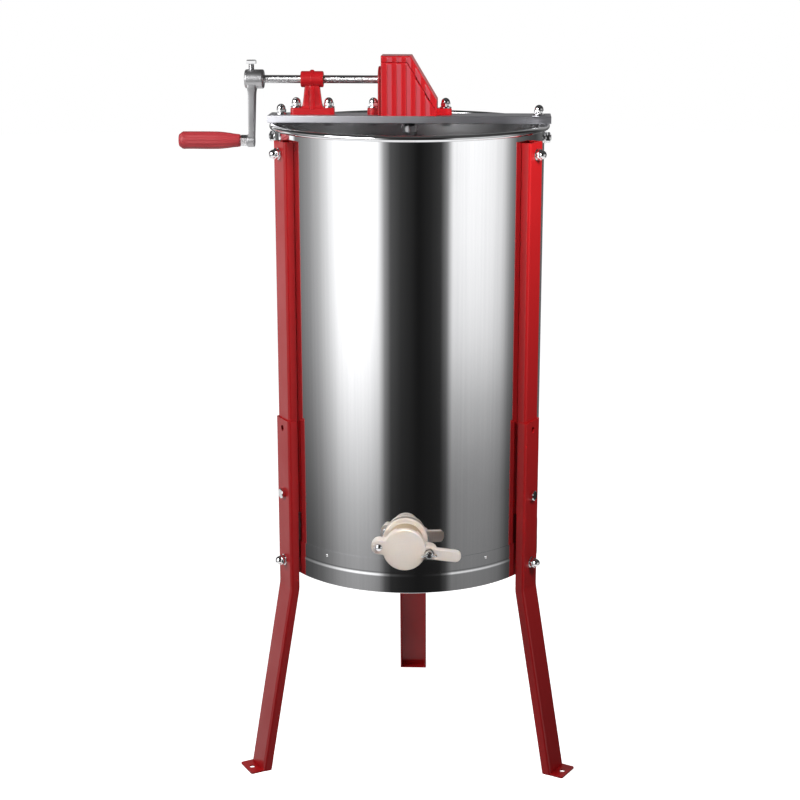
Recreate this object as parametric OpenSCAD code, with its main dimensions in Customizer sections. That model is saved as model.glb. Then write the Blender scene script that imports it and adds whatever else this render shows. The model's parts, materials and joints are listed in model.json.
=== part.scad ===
// Honey extractor: a drum on three legs with a hand-cranked basket.
// Millimetres, +Z up, floor at z = 0, drum axis on the Z axis, crossbar along X, gate towards -Y.

/* [Drum] */
// Outside diameter of the drum wall
drum_d = 370; // [340:1:400]
// Thickness of the wall sheet
wall_t = 0.8; // [0.6:0.1:1.2]
// Height of the drum's lower edge above the floor
drum_z = 291; // [275:1:310]
// Height of the drum from its lower edge to the top of the rim
drum_h = 618; // [580:1:660]
// Radius of the rolled rim
rim_r = 4; // [3:0.1:5]
// Height of the base hoop
hoop_h = 48; // [44:1:54]
// Height of the pressed bead above the lower edge
hoop_bead_z = 28; // [25:0.5:31]
// How far the bead stands out of the hoop
hoop_bead = 1.6; // [1:0.1:2.2]
// Rise of the conical floor from wall to centre
floor_rise = 22; // [16:1:26]

/* [Crossbar] */
// Width of the crossbar
bar_w = 50; // [48:1:60]
// Thickness of the crossbar
bar_t = 10; // [8:0.5:12]
// Overhang of the crossbar past the rim
bar_over = 1.2; // [0.5:0.1:6]

/* [Gearbox] */
// Length of the housing along the crossbar
box_l = 76; // [72:1:82]
// Depth of the housing across the crossbar
box_d = 46; // [46:0.5:48]
// Height of the housing with its cover
box_h = 80; // [76:1:88]
// Where the flat top meets the slope, from the spindle axis
slope_x = 2.5; // [-4:0.5:8]
// Height at which the slope meets the end wall
slope_z = 21; // [18:1:30]
// Wall thickness of the castings
cast_t = 3; // [2.5:0.1:3.2]
// Height of the cover's skirt
cover_h = 8; // [6:0.5:10]
// Height of the drive shaft above the crossbar
shaft_h = 47.3; // [46:0.1:50]
// Diameter of the drive shaft
shaft_d = 11; // [10:0.5:12]
// Distance of the housing's lug bolts from the spindle axis
lug_x = 49.5; // [48:0.5:53]

/* [Pedestal] */
// Distance of the pedestal inside the drum wall
ped_in = 51.5; // [47:0.5:61]
// Length of the pedestal's base
ped_l = 60; // [58:1:64]
// Length of the bearing hub
hub_l = 31; // [26:1:36]
// Diameter of the bearing hub
hub_d = 22; // [20:0.5:26]

/* [Crank] */
// Crank radius from shaft to grip
crank_r = 84; // [75:1:95]
// Distance of the crank arm from the drum wall
crank_out = 32; // [28:1:40]
// Length of the grip
grip_l = 85; // [75:1:95]
// Largest diameter of the grip
grip_d = 24.5; // [22:0.5:28]

/* [Legs] */
// Turn of the three legs and the gate about the drum axis against the crossbar
leg_turn = 1.5; // [0:0.5:5]
// Outside width of the lower leg channel
leg_w = 41.4; // [38:0.2:44]
// Thickness of the leg sheet
leg_t = 2; // [1.6:0.1:2.4]
// Outside corner radius of the channels
leg_r = 4; // [3:0.25:5]
// Web of the upper leg outside the drum wall
leg_off = 12.2; // [11:0.1:16]
// Outward lean of the lower leg below the bend
leg_lean = 10.3; // [8:0.1:13]
// Height of the bend above the floor
bend_z = 269; // [255:1:275]
// Height of the lower leg's top end
low_top = 512; // [490:1:540]
// Length of the foot plate outside the web
foot_l = 18; // [16:0.5:24]
// Width of the foot plate
foot_w = 38.4; // [34:0.2:39]
// Diameter of the foot hole
foot_hole = 8; // [6:0.5:9]

/* [Gate] */
// Height of the gate's bore above the floor
gate_z = 370; // [366:1:390]
// Bore of the gate
gate_bore = 40; // [36:1:42]
// Radius of the swinging blade
blade_r = 29.5; // [28:0.5:31]
// Thickness of the blade
blade_t = 8; // [7:0.5:9]
// Distance from wall to the back of the blade
gate_reach = 29; // [27:0.5:34]
// Tilt of the gate about its bore
gate_tilt = 6.5; // [0:0.5:12]

/* [Basket] */
// Clear width of a frame slot
slot_w = 238; // [225:1:240]
// Clear depth of a frame slot
slot_d = 40; // [34:1:44]
// Diameter of the spindle
spindle_d = 12; // [11:0.5:13]

/* [Hidden] */
$fn = 96;

// Gaps: between parts bolted together, between a running shaft and its bore, between moving faces
fit = 0.05;
run = 0.05;
free = 0.3;
eps = 0.01;
fine_fn = 360;

// Drum
drum_r = drum_d / 2;
wall_in = drum_r - wall_t;
rim_top = drum_z + drum_h;
rim_c = wall_in + rim_r;
rim_out = wall_in + 2 * rim_r;
hoop_in = drum_r + fit;
hoop_t = 0.9;
hoop_out = hoop_in + hoop_t;
bead_out = hoop_out + hoop_bead;
hem_r = 1.5;
floor_t = 1;
floor_z = drum_z + hoop_bead_z + 2;
floor_out = wall_in - fit;
floor_flange = hoop_h - hoop_bead_z - 4;
floor_flat = 34;
floor_mid = floor_z + floor_rise;
rivet_z = floor_z + floor_flange - 5;
rivet_count = 5;
rivet_d = 4;

// Eight-millimetre fasteners
m_d = 8;
m_hole = 8.4;
m_nut = 13;
m_head_h = 5.3;
m_nut_h = 6.5;
bolt_past = 1;
cap_hex_h = 6.5;
cap_dome = 6.1;
cap_base = 8.9;
cap_bore_h = 11;
washer_d = 16;
washer_t = 1.6;

// Crossbar and deck heights
bar_l = 2 * (rim_out + bar_over);
deck_z = rim_top + bar_t;
ped_x = drum_r - ped_in;
tie_r = wall_in - 7.2;
tie_drop = 20.5;
tie_z = rim_top - tie_drop;
eye_d = 20;
eye_l = 2 * (wall_in - 0.6 - tie_r);
tie_end = 9.5;

// Gearbox
shaft_z = deck_z + shaft_h;
lug_r = 8.5;
lug_h = 9;
bush_t = 2;
bush_d = shaft_d + 2 * run + 2 * bush_t;
boss_d = bush_d + 8;
boss_out = 4.5;
boss_in = 3;
rib_w = 6;
rib_pitch = 13;
rib_out = 1.4;
cover_lip = 0.6;
tab_w = 8;
tab_h = 10;
tab_t = 1.6;
tab_screw = 3;
cover_tabs = [-box_l / 2 + 8, slope_x - 8];
slope_a = atan2(box_h - slope_z, box_l / 2 - slope_x);

// Bevel gears with their common apex where the drive shaft meets the spindle axis
gear_n = 24;
pinion_n = 12;
gear_m = 1.5;
gear_pr = gear_n * gear_m / 2;
pinion_pr = pinion_n * gear_m / 2;
cone_r = sqrt(gear_pr * gear_pr + pinion_pr * pinion_pr);
gear_cone = atan2(gear_pr, pinion_pr);
pinion_cone = atan2(pinion_pr, gear_pr);
face_k = 0.7;
press_a = 20;
slack = 0.16;
gear_add = 0.75;
gear_ded = 1.35;
pinion_add = 1.1;
pinion_ded = 1.0;
gear_hub_d = 20;
gear_hub_end = box_l / 2 - cast_t - boss_in - free - 1;
pinion_hub_d = 15.2;
pinion_hub_h = 9;
neck_drop = gear_pr + 4.6;

// Pedestal
ped_t = 9;
ped_w = 22;
ped_corner = 5;
ped_bolt = ped_l / 2 - 7.6;
ped_y = 14;
ped_rib = 5;
oil_d = 8;
oil_h = 3;

// Crank and grip
arm_x = -(drum_r + crank_out);
arm_out_top = 5.25;
arm_out_low = 4.3;
arm_in_top = 4.5;
arm_in_low = 1.8;
crank_hub_d = 26;
crank_hub_out = 9;
crank_hub_in = 17;
arm_w_top = 20;
arm_w_low = 14;
pin_boss_d = 18;
pin_boss_out = 7.5;
pin_boss_in = 2.5;
pin_z = shaft_z - crank_r;
pin_d = 8;
ferrule_d = 14;
ferrule_l = 10;
grip_x = arm_x - pin_boss_out - ferrule_l - free;
grip_neck_d = grip_d * 0.72;
pin_head_d = 12;
pin_head_h = 3.5;
screw_stand = 20.5;

// Legs
leg_angles = [210, -30, 90];
up_w = leg_w - 2 * leg_t - 0.6;
up_r = drum_r + leg_off;
low_r = up_r + leg_t + 0.2;
up_edge = sqrt(drum_r * drum_r - pow(up_w / 2 - leg_t, 2)) + 0.2;
low_edge = sqrt(bead_out * bead_out - pow(leg_w / 2 - leg_t, 2)) + 0.2;
rim_gap = 9;
up_top = rim_top - 2 * rim_r - rim_gap;
leg_lap = 132;
hole_drop = 13;
top_drop = 16;
up_low = low_top - leg_lap;
top_bolt_z = up_top - top_drop;
low_bolt_z = drum_z + 16;
joint_drop = 107;
joint_z = low_top - joint_drop;
spare_z = low_top - hole_drop;
foot_r = low_r + bend_z * tan(leg_lean);
foot_hole_r = foot_r + foot_l / 2 - 0.5;
bolt_clear = 6.5;
bend_flats = 4;

// Gate
gate_wall = drum_r;
gate_tube_d = gate_bore + 6;
gate_flange_d = 60;
gate_flange_t = 7;
gasket_out = gate_wall + 2.6;
flange_front = gasket_out + gate_flange_t;
blade_back = gate_wall + gate_reach;
seat_front = blade_back - 0.2;
seat_t = 8;
neck_d = gate_bore + 8;
lock_t = 8;
lock_in = wall_in - lock_t;
tube_past = 1;
pivot = [-34, -4.6];
latch = [33.3, -4.6];
ear_r = 10.4;
latch_ear_r = 10.8;
g_d = 6;
g_head_d = 11.5;
notch_w = 8.6;
handle_end = 76;
handle_h = 16;
handle_y = -5.4;
arm_y0 = -13.4;
arm_y1 = 3.6;
wing_hub_d = 11;
wing_hub_h = 8;
wing_span = 21.5;
wing_t = 2.6;

// Basket
cup_d = 44;
cup_base = 5;
cup_tube_d = 24;
cup_h = 24;
ball_d = 10;
cup_z = floor_mid + floor_t;
ball_z = cup_z + cup_base + ball_d / 2;
spindle_low = ball_z + ball_d / 2 + run;
basket_low = cup_z + cup_h + 3;
rail_h = 12;
rail_w = 4;
post_d = 6;
net_t = 2;
basket_high = tie_z - 20;
basket_reach = lock_in - tube_past - 2;
post_x = slot_w / 2 + post_d / 2 + 0.2;
post_y2 = sqrt(pow(basket_reach - post_d / 2 - 0.5, 2) - post_x * post_x);
post_y1 = post_y2 - slot_d - rail_w;
arm_w = 8;
rest_x = slot_w * 0.3;
rest_t = 3;
net_cols = 9;
net_rows = 18;
net_low = basket_low + rail_h;
net_high = basket_high - rail_h;
hub_bore = spindle_d + 2 * fit;
basket_hub_d = 30;
bush_drop = 5;
top_bush_d = 15;
collar_d = 18.8;
collar_h = 8.4;
collar_z = rim_top - bush_drop - 0.3 - collar_h;

function box_poly(in, side, low) =
    let (c = slope_x * sin(slope_a) + box_h * cos(slope_a) - in, x = box_l / 2 - side, z = box_h - in)
    [[-x, low], [x, low], [x, (c - x * sin(slope_a)) / cos(slope_a)],
     [(c - z * cos(slope_a)) / sin(slope_a), z], [-x, z]];

// Involute function of an angle in degrees, as degrees
function inv(a) = tan(a) * 180 / PI - a;

// Half the angle a tooth covers at radius r of a spur gear with pitch radius p
function half_tooth(r, p) =
    let (b = p * cos(press_a), q = max(r, b))
    (gear_m * PI / 4 - slack) / p * 180 / PI + inv(press_a) - inv(acos(b / q));

// A point of a tooth on the back cone, moved towards the apex by k
function cone_point(r, a, d, k) =
    let (w = r * cos(d), t = a / cos(d))
    [k * w * cos(t), k * w * sin(t), k * (cone_r / cos(d) - r * sin(d))];

function tooth_side(p, add, ded) = [for (i = [0:5]) p - ded + i * (add + ded) / 5];

// All tooth flanks of a gear round its axis, in order of angle
function tooth_loop(count, p, add, ded, d, k, phase) =
    let (r = tooth_side(p, add, ded), a = [for (q = r) half_tooth(q, p)], step = 360 / count * cos(d))
    [for (t = [0:count - 1], i = [0:11])
        let (j = i < 6 ? i : 11 - i, side = i < 6 ? -1 : 1)
        cone_point(r[j], side * a[j] + t * step + phase * cos(d), d, k)];

// Gear along +Z with its apex at the origin; hub_end is the far end of its hub, bore_z the bore's inner end
module bevel_gear(count, pr, add, ded, d, phase, hub_dia, hub_end, bore, bore_z) {
    p = pr / cos(d);
    outer = tooth_loop(count, p, add * gear_m, ded * gear_m, d, 1, phase);
    inner = tooth_loop(count, p, add * gear_m, ded * gear_m, d, face_k, phase);
    n = len(outer);
    back = outer[0][2] + 2;
    difference() {
        union() {
            polyhedron(concat(outer, inner, [[0, 0, back], [0, 0, inner[0][2]]]),
                concat([for (i = [0:n - 1]) [2 * n, (i + 1) % n, i]],
                       [for (i = [0:n - 1]) [2 * n + 1, n + i, n + (i + 1) % n]],
                       [for (i = [0:n - 1]) [i, (i + 1) % n, n + (i + 1) % n, n + i]]));
            translate([0, 0, outer[0][2] - 1])
                cylinder(h = hub_end - outer[0][2] + 1, d = hub_dia);
        }
        translate([0, 0, bore_z])
            cylinder(h = hub_end - bore_z + 1, d = bore);
    }
}

module hex(af, h) {
    cylinder(h = h, d = af / cos(30), $fn = 6);
}

module cap_nut() {
    difference() {
        union() {
            hex(m_nut, cap_hex_h);
            cylinder(h = cap_base, r = cap_dome);
            intersection() {
                translate([0, 0, cap_base])
                    sphere(r = cap_dome);
                translate([0, 0, cap_base - eps])
                    cylinder(h = cap_dome + 1, r = cap_dome);
            }
        }
        translate([0, 0, -1])
            cylinder(h = cap_bore_h + 1, d = m_d + 2 * fit);
    }
}

module washer() {
    difference() {
        cylinder(h = washer_t, d = washer_d);
        translate([0, 0, -1])
            cylinder(h = washer_t + 2, d = m_hole);
    }
}

// Bolt along +Z, underside of the head at z = 0
module bolt(length) {
    translate([0, 0, -m_head_h])
        hex(m_nut, m_head_h);
    translate([0, 0, -eps])
        cylinder(h = length + eps, d = m_d);
}

module plain_nut() {
    difference() {
        hex(m_nut, m_nut_h);
        translate([0, 0, -1])
            cylinder(h = m_nut_h + 2, d = m_d + 2 * fit);
    }
}

// Places along each leg: radius r outwards, height z, local +Z pointing outwards
module at_legs(r, z) {
    for (a = leg_angles)
        rotate([0, 0, a + leg_turn])
            translate([r, 0, z])
                rotate([0, 90, 0])
                    children();
}

// Gate frame: x to the right, y up, z outwards from the drum axis
module at_gate() {
    rotate([0, 0, leg_turn])
        translate([0, 0, gate_z])
            rotate([90, 0, 0])
                rotate([0, 0, -gate_tilt])
                    children();
}

module drum_shell() {
    color("silver")
    difference() {
        rotate_extrude()
            union() {
                translate([wall_in, floor_z])
                    square([wall_t, drum_h - (floor_z - drum_z) - rim_r]);
                difference() {
                    translate([rim_c, rim_top - rim_r])
                        circle(r = rim_r);
                    translate([rim_c, rim_top - rim_r])
                        circle(r = rim_r - wall_t);
                }
            }
        at_legs(wall_in - 10, top_bolt_z)
            cylinder(h = 20, d = m_hole);
        for (s = [0, 180])
            rotate([0, 0, s])
                translate([wall_in - 10, 0, tie_z])
                    rotate([0, 90, 0])
                        cylinder(h = 20, d = m_hole);
        at_gate()
            translate([0, 0, wall_in - 20])
                cylinder(h = 40, d = gate_tube_d + 2 * fit);
        for (i = [0:rivet_count - 1])
            rotate([0, 0, leg_turn + 90 + i * 360 / rivet_count])
                translate([wall_in - 5, 0, rivet_z])
                    rotate([0, 90, 0])
                        cylinder(h = 10, d = rivet_d + 2 * fit);
    }
}

module rim_wire() {
    color("gray")
    rotate_extrude()
        translate([rim_c, rim_top - rim_r])
            circle(r = rim_r - wall_t - fit);
}

module drum_floor() {
    color("silver")
    difference() {
        rotate_extrude()
            polygon([[0, floor_mid], [floor_flat, floor_mid], [floor_out - floor_t, floor_z],
                     [floor_out, floor_z], [floor_out, floor_z + floor_flange],
                     [floor_out - floor_t, floor_z + floor_flange], [floor_out - floor_t, floor_z + floor_t],
                     [floor_flat, floor_mid + floor_t], [0, floor_mid + floor_t]]);
        for (i = [0:rivet_count - 1])
            rotate([0, 0, leg_turn + 90 + i * 360 / rivet_count])
                translate([floor_out - 6, 0, rivet_z])
                    rotate([0, 90, 0])
                        cylinder(h = 12, d = rivet_d + 2 * fit);
    }
}

module base_hoop() {
    color("silver")
    difference() {
        rotate_extrude()
            union() {
                translate([hoop_in, drum_z])
                    square([hoop_t, hoop_h]);
                difference() {
                    translate([hoop_out, drum_z + hoop_bead_z])
                        circle(r = hoop_bead);
                    translate([hoop_in - 5, drum_z + hoop_bead_z - 5])
                        square([5, 10]);
                }
                difference() {
                    translate([hoop_in, drum_z + hem_r])
                        circle(r = hem_r);
                    translate([hoop_out, drum_z - 1])
                        square([5, 6]);
                }
            }
        at_legs(hoop_in - 10, low_bolt_z)
            cylinder(h = 20, d = m_hole);
        for (i = [0:rivet_count - 1])
            rotate([0, 0, leg_turn + 90 + i * 360 / rivet_count])
                translate([hoop_in - 5, 0, rivet_z])
                    rotate([0, 90, 0])
                        cylinder(h = 10, d = rivet_d + 2 * fit);
    }
}

module hoop_rivets() {
    color("silver")
    for (i = [0:rivet_count - 1])
        rotate([0, 0, leg_turn + 90 + i * 360 / rivet_count])
            translate([0, 0, rivet_z])
                rotate([0, 90, 0]) {
                    translate([0, 0, floor_out - floor_t - 1.3])
                        cylinder(h = 1.2, d = rivet_d + 2.6);
                    translate([0, 0, floor_out - floor_t - 0.6])
                        cylinder(h = hoop_out - floor_out + floor_t + 1, d = rivet_d);
                    translate([0, 0, hoop_out + fit])
                        cylinder(h = 1.2, d = rivet_d + 2.6);
                }
}

// Section of a channel: web on the +X side ending at x = 0, flanges towards -X
module channel(w, d, r) {
    difference() {
        union() {
            translate([-d, -w / 2])
                square([d - r, w]);
            translate([-d, -w / 2 + r])
                square([d, w - 2 * r]);
            for (s = [-1, 1])
                translate([-r, s * (w / 2 - r)])
                    circle(r = r);
        }
        translate([-d - 1, -w / 2 + leg_t])
            square([d + 1 - r, w - 2 * leg_t]);
        translate([-d - 1, -w / 2 + r])
            square([d + 1 - leg_t, w - 2 * r]);
        for (s = [-1, 1])
            translate([-r, s * (w / 2 - r)])
                circle(r = r - leg_t);
    }
}

module upper_leg(a) {
    color("firebrick")
    rotate([0, 0, a + leg_turn])
        difference() {
            translate([up_r, 0, up_low])
                linear_extrude(up_top - up_low)
                    channel(up_w, up_r - up_edge, leg_r);
            for (z = [top_bolt_z, joint_z, spare_z])
                translate([up_r - 10, 0, z])
                    rotate([0, 90, 0])
                        cylinder(h = 20, d = m_hole);
        }
}

module left_upper_leg() {
    upper_leg(leg_angles[0]);
}

module right_upper_leg() {
    upper_leg(leg_angles[1]);
}

module rear_upper_leg() {
    upper_leg(leg_angles[2]);
}

// One side of a bent channel's section from flange to flange, in behind its outside by the given depth
function leg_path(in) =
    let (c = leg_w / 2 - leg_r, q = leg_r - in, d = low_r - low_edge)
    concat([[-d, in - leg_w / 2]],
           [for (i = [0:bend_flats]) [q * sin(90 * i / bend_flats) - leg_r, -c - q * cos(90 * i / bend_flats)]],
           [for (i = [0:bend_flats]) [q * cos(90 * i / bend_flats) - leg_r, c + q * sin(90 * i / bend_flats)]],
           [[-d, leg_w / 2 - in]]);

// The section's points at the top end, at the bend and on the floor
function leg_top(p) = [low_r + p[0], p[1], low_top];
function leg_bend(p) = [low_r + p[0], p[1], bend_z + p[0] * tan(leg_lean / 2)];
function leg_floor(p) = let (b = leg_bend(p)) [b[0] + b[2] * tan(leg_lean), p[1], 0];

module bent_channel() {
    out = leg_path(0);
    inn = leg_path(leg_t);
    m = len(out);
    n = 2 * m;
    polyhedron(
        concat([for (p = out) leg_top(p)], [for (p = inn) leg_top(p)],
               [for (p = out) leg_bend(p)], [for (p = inn) leg_bend(p)],
               [for (p = out) leg_floor(p)], [for (p = inn) leg_floor(p)]),
        concat([for (s = [0, n], i = [0:m - 2]) [s + i, s + i + 1, s + n + i + 1, s + n + i]],
               [for (s = [0, n], i = [m:n - 2]) [s + i, s + n + i, s + n + i + 1, s + i + 1]],
               [for (i = [0:m - 2]) [i, m + i, m + i + 1, i + 1]],
               [for (i = [0:m - 2]) [2 * n + i, 2 * n + i + 1, 2 * n + m + i + 1, 2 * n + m + i]],
               [for (s = [0, n]) [s + m, s, s + n, s + n + m]],
               [for (s = [0, n]) [s + m - 1, s + n - 1, s + 2 * n - 1, s + n + m - 1]]));
}

module lower_leg(a) {
    color("firebrick")
    rotate([0, 0, a + leg_turn])
        difference() {
            union() {
                bent_channel();
                translate([foot_r - leg_t, -foot_w / 2, 0])
                    cube([foot_l + leg_t, foot_w, leg_t]);
            }
            for (z = [low_bolt_z, joint_z, spare_z])
                translate([low_r - 10, 0, z])
                    rotate([0, 90, 0])
                        cylinder(h = 20, d = m_hole);
            translate([foot_hole_r, 0, -1])
                cylinder(h = leg_t + 2, d = foot_hole);
        }
}

module left_lower_leg() {
    lower_leg(leg_angles[0]);
}

module right_lower_leg() {
    lower_leg(leg_angles[1]);
}

module rear_lower_leg() {
    lower_leg(leg_angles[2]);
}

module leg_wall_bolts() {
    color("gainsboro") {
        at_legs(wall_in - 0.4, top_bolt_z)
            bolt(up_r - wall_in + 0.4 + washer_t + bolt_clear);
        at_legs(hoop_in - 0.4, low_bolt_z)
            bolt(low_r - hoop_in + 0.4 + washer_t + bolt_clear);
    }
}

module leg_washers() {
    color("gainsboro") {
        at_legs(up_r + fit / 2, top_bolt_z)
            washer();
        at_legs(low_r + fit / 2, low_bolt_z)
            washer();
    }
}

module leg_cap_nuts() {
    color("gainsboro") {
        at_legs(up_r + washer_t + fit, top_bolt_z)
            cap_nut();
        at_legs(low_r + washer_t + fit, low_bolt_z)
            cap_nut();
    }
}

module leg_joint_bolts() {
    color("gainsboro")
    at_legs(low_r + fit, joint_z)
        mirror([0, 0, 1])
            bolt(low_r - up_r + leg_t + m_nut_h + bolt_past);
}

module leg_joint_nuts() {
    color("gainsboro")
    at_legs(up_r - leg_t - m_nut_h - fit, joint_z)
        plain_nut();
}

module bar_bolt_spots() {
    for (x = [-ped_x - ped_bolt, -ped_x + ped_bolt, -lug_x, lug_x])
        translate([x, 0, 0])
            children();
}

module crossbar() {
    color("lightgray")
    difference() {
        translate([-bar_l / 2, -bar_w / 2, rim_top])
            cube([bar_l, bar_w, bar_t]);
        bar_bolt_spots()
            translate([0, 0, rim_top - 1])
                cylinder(h = bar_t + 2, d = m_hole);
        for (s = [-1, 1])
            translate([s * tie_r, 0, rim_top - 1])
                cylinder(h = bar_t + 2, d = m_hole);
        translate([0, 0, rim_top - 1])
            cylinder(h = bar_t + 2, d = top_bush_d + 2 * fit);
    }
}

module tie_eyebolts() {
    color("gainsboro")
    for (s = [0, 180])
        rotate([0, 0, s])
            difference() {
                union() {
                    translate([tie_r - eye_l / 2, 0, tie_z])
                        rotate([0, 90, 0])
                            cylinder(h = eye_l, d = eye_d);
                    translate([tie_r, 0, tie_z])
                        cylinder(h = tie_drop + bar_t + washer_t + bolt_clear, d = m_d);
                }
                translate([tie_r - eye_l, 0, tie_z])
                    rotate([0, 90, 0])
                        cylinder(h = 2 * eye_l, d = m_hole);
            }
}

module tie_bolts() {
    color("gainsboro")
    for (s = [0, 180])
        rotate([0, 0, s])
            translate([tie_r - eye_l / 2 - fit, 0, tie_z])
                rotate([0, 90, 0])
                    bolt(drum_r + tie_end - tie_r + eye_l / 2);
}

module tie_washers() {
    color("gainsboro")
    for (s = [0, 180])
        rotate([0, 0, s])
            translate([drum_r + fit, 0, tie_z])
                rotate([0, 90, 0])
                    washer();
}

module tie_nuts() {
    color("gainsboro")
    for (s = [0, 180])
        rotate([0, 0, s])
            translate([drum_r + washer_t + 2 * fit, 0, tie_z])
                rotate([0, 90, 0])
                    plain_nut();
}

module deck_bolts() {
    color("gainsboro")
    bar_bolt_spots()
        translate([0, 0, rim_top - fit])
            bolt(bar_t + lug_h + washer_t + bolt_clear);
}

module cap_spots() {
    bar_bolt_spots()
        translate([0, 0, deck_z + lug_h])
            children();
    for (s = [-1, 1])
        translate([s * tie_r, 0, deck_z])
            children();
}

module bar_washers() {
    color("gainsboro")
    cap_spots()
        translate([0, 0, fit / 2])
            washer();
}

module bar_cap_nuts() {
    color("gainsboro")
    cap_spots()
        translate([0, 0, washer_t + fit])
            cap_nut();
}

// Side outline of the housing swept across the crossbar
module box_sweep(in, side, low, depth) {
    translate([0, depth / 2, deck_z])
        rotate([90, 0, 0])
            linear_extrude(depth)
                polygon(box_poly(in, side, low));
}

module gear_housing() {
    inner_d = box_d - 2 * cast_t;
    color("crimson")
    difference() {
        union() {
            box_sweep(cover_h, 0, 0, box_d);
            intersection() {
                union()
                    for (i = [-2:2], s = [-1, 1])
                        translate([i * rib_pitch - rib_w / 2, s * box_d / 2 - rib_out, deck_z])
                            cube([rib_w, 2 * rib_out, box_h]);
                box_sweep(cover_h + 0.5, 0, 0, box_d + 4 * rib_out);
            }
            difference() {
                for (s = [-1, 1]) {
                    translate([s * lug_x, 0, deck_z])
                        cylinder(h = lug_h, r = lug_r);
                    translate([s * lug_x, 0, deck_z])
                        mirror([s > 0 ? 1 : 0, 0, 0])
                            translate([0, -lug_r, 0])
                                cube([lug_x - box_l / 2 + 1, 2 * lug_r, lug_h]);
                }
                cover_end();
            }
            translate([-box_l / 2 - boss_out, 0, shaft_z])
                rotate([0, 90, 0])
                    cylinder(h = boss_out + cast_t + boss_in, d = boss_d);
            translate([-box_l / 2 - boss_out, -boss_d / 2, deck_z])
                cube([boss_out + 1, boss_d, shaft_h]);
        }
        difference() {
            box_sweep(-5, cast_t, -1, inner_d);
            translate([-box_l / 2, 0, shaft_z])
                rotate([0, 90, 0])
                    cylinder(h = cast_t + boss_in, d = boss_d);
        }
        translate([-box_l / 2 - boss_out - 1, 0, shaft_z])
            rotate([0, 90, 0])
                cylinder(h = boss_out + cast_t + boss_in + 2, d = bush_d + 2 * fit);
        for (s = [-1, 1])
            translate([s * lug_x, 0, deck_z - 1])
                cylinder(h = lug_h + 2, d = m_hole);
        for (s = [-1, 1])
            translate([s * lug_x, 0, deck_z + lug_h])
                cylinder(h = 20, d = washer_d + 1);
        cover_screw_spots()
            cylinder(h = 20, d = tab_screw + 2 * fit, center = true);
    }
}

// Room beside the cover's lower end, which the lug on that side leaves free
module cover_end() {
    translate([box_l / 2 - 2, -lug_r - 1, deck_z + box_poly(cover_h + 0.5, 0, 0)[2][1]])
        cube([2 + fit, 2 * lug_r + 2, lug_h]);
}

module cover_screw_spots() {
    for (x = cover_tabs)
        translate([x, box_d / 2, deck_z + box_h - cover_h - tab_h / 2])
            rotate([90, 0, 0])
                children();
}

module gear_cover() {
    color("crimson")
    difference() {
        union() {
            difference() {
                box_sweep(0, 0, 0, box_d + 2 * cover_lip);
                box_sweep(cover_h - fit, -1, -1, box_d + 2 * cover_lip + 2);
            }
            for (x = cover_tabs)
                translate([x - tab_w / 2, box_d / 2 + rib_out + fit, deck_z + box_h - cover_h - tab_h])
                    cube([tab_w, tab_t, tab_h + cover_h / 2]);
            for (x = cover_tabs)
                translate([x - tab_w / 2, box_d / 2, deck_z + box_h - cover_h])
                    cube([tab_w, rib_out + tab_t, cover_h / 2]);
        }
        box_sweep(cast_t, cast_t, -1, box_d - 2 * cast_t);
        cover_screw_spots()
            cylinder(h = 20, d = tab_screw + 2 * fit, center = true);
    }
}

module cover_screws() {
    color("gainsboro")
    cover_screw_spots() {
        translate([0, 0, -rib_out - 2 * fit - tab_t - 2])
            cylinder(h = 2, d = 5.6);
        translate([0, 0, -rib_out - 2 * fit - tab_t - eps])
            cylinder(h = tab_t + rib_out + cast_t, d = tab_screw);
    }
}

module sleeve(inner, outer, length) {
    difference() {
        cylinder(h = length, d = outer);
        translate([0, 0, -1])
            cylinder(h = length + 2, d = inner);
    }
}

module housing_bush() {
    color("goldenrod")
    translate([-box_l / 2 - boss_out, 0, shaft_z])
        rotate([0, 90, 0])
            sleeve(shaft_d + 2 * run, bush_d, boss_out + cast_t + boss_in);
}

module pedestal() {
    top_w = 18;
    low_w = 27;
    color("crimson")
    translate([-ped_x, 0, deck_z])
        difference() {
            union() {
                linear_extrude(ped_t)
                    union() {
                        translate([-ped_l / 2, -ped_w / 2 + ped_corner])
                            square([ped_l, ped_w - 2 * ped_corner]);
                        translate([-ped_l / 2 + ped_corner, -ped_w / 2])
                            square([ped_l - 2 * ped_corner, ped_w]);
                        for (sx = [-1, 1], sy = [-1, 1])
                            translate([sx * (ped_l / 2 - ped_corner), sy * (ped_w / 2 - ped_corner)])
                                circle(r = ped_corner);
                    }
                translate([0, ped_y / 2, 0])
                    rotate([90, 0, 0])
                        linear_extrude(ped_y)
                            polygon([[-low_w / 2, ped_t - 1], [low_w / 2, ped_t - 1],
                                     [top_w / 2, shaft_h], [-top_w / 2, shaft_h]]);
                translate([-ped_rib / 2, -ped_w / 2, ped_t - 1])
                    cube([ped_rib, ped_w, shaft_h - ped_t]);
                translate([-hub_l / 2, 0, shaft_h])
                    rotate([0, 90, 0])
                        cylinder(h = hub_l, d = hub_d);
                translate([0, 0, shaft_h])
                    cylinder(h = hub_d / 2 + oil_h, d = oil_d);
            }
            translate([-hub_l, 0, shaft_h])
                rotate([0, 90, 0])
                    cylinder(h = 2 * hub_l, d = bush_d + 2 * fit);
            for (s = [-1, 1])
                translate([s * ped_bolt, 0, -1])
                    cylinder(h = ped_t + 2, d = m_hole);
            for (s = [-1, 1])
                translate([s * ped_bolt, 0, ped_t])
                    cylinder(h = 16, d = washer_d + 1);
        }
}

module pedestal_bush() {
    color("goldenrod")
    translate([-ped_x - hub_l / 2, 0, shaft_z])
        rotate([0, 90, 0])
            sleeve(shaft_d + 2 * run, bush_d, hub_l);
}

module top_bush() {
    color("dimgray")
    translate([0, 0, rim_top - bush_drop])
        sleeve(spindle_d + 2 * run, top_bush_d, bush_drop + bar_t);
}

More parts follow.
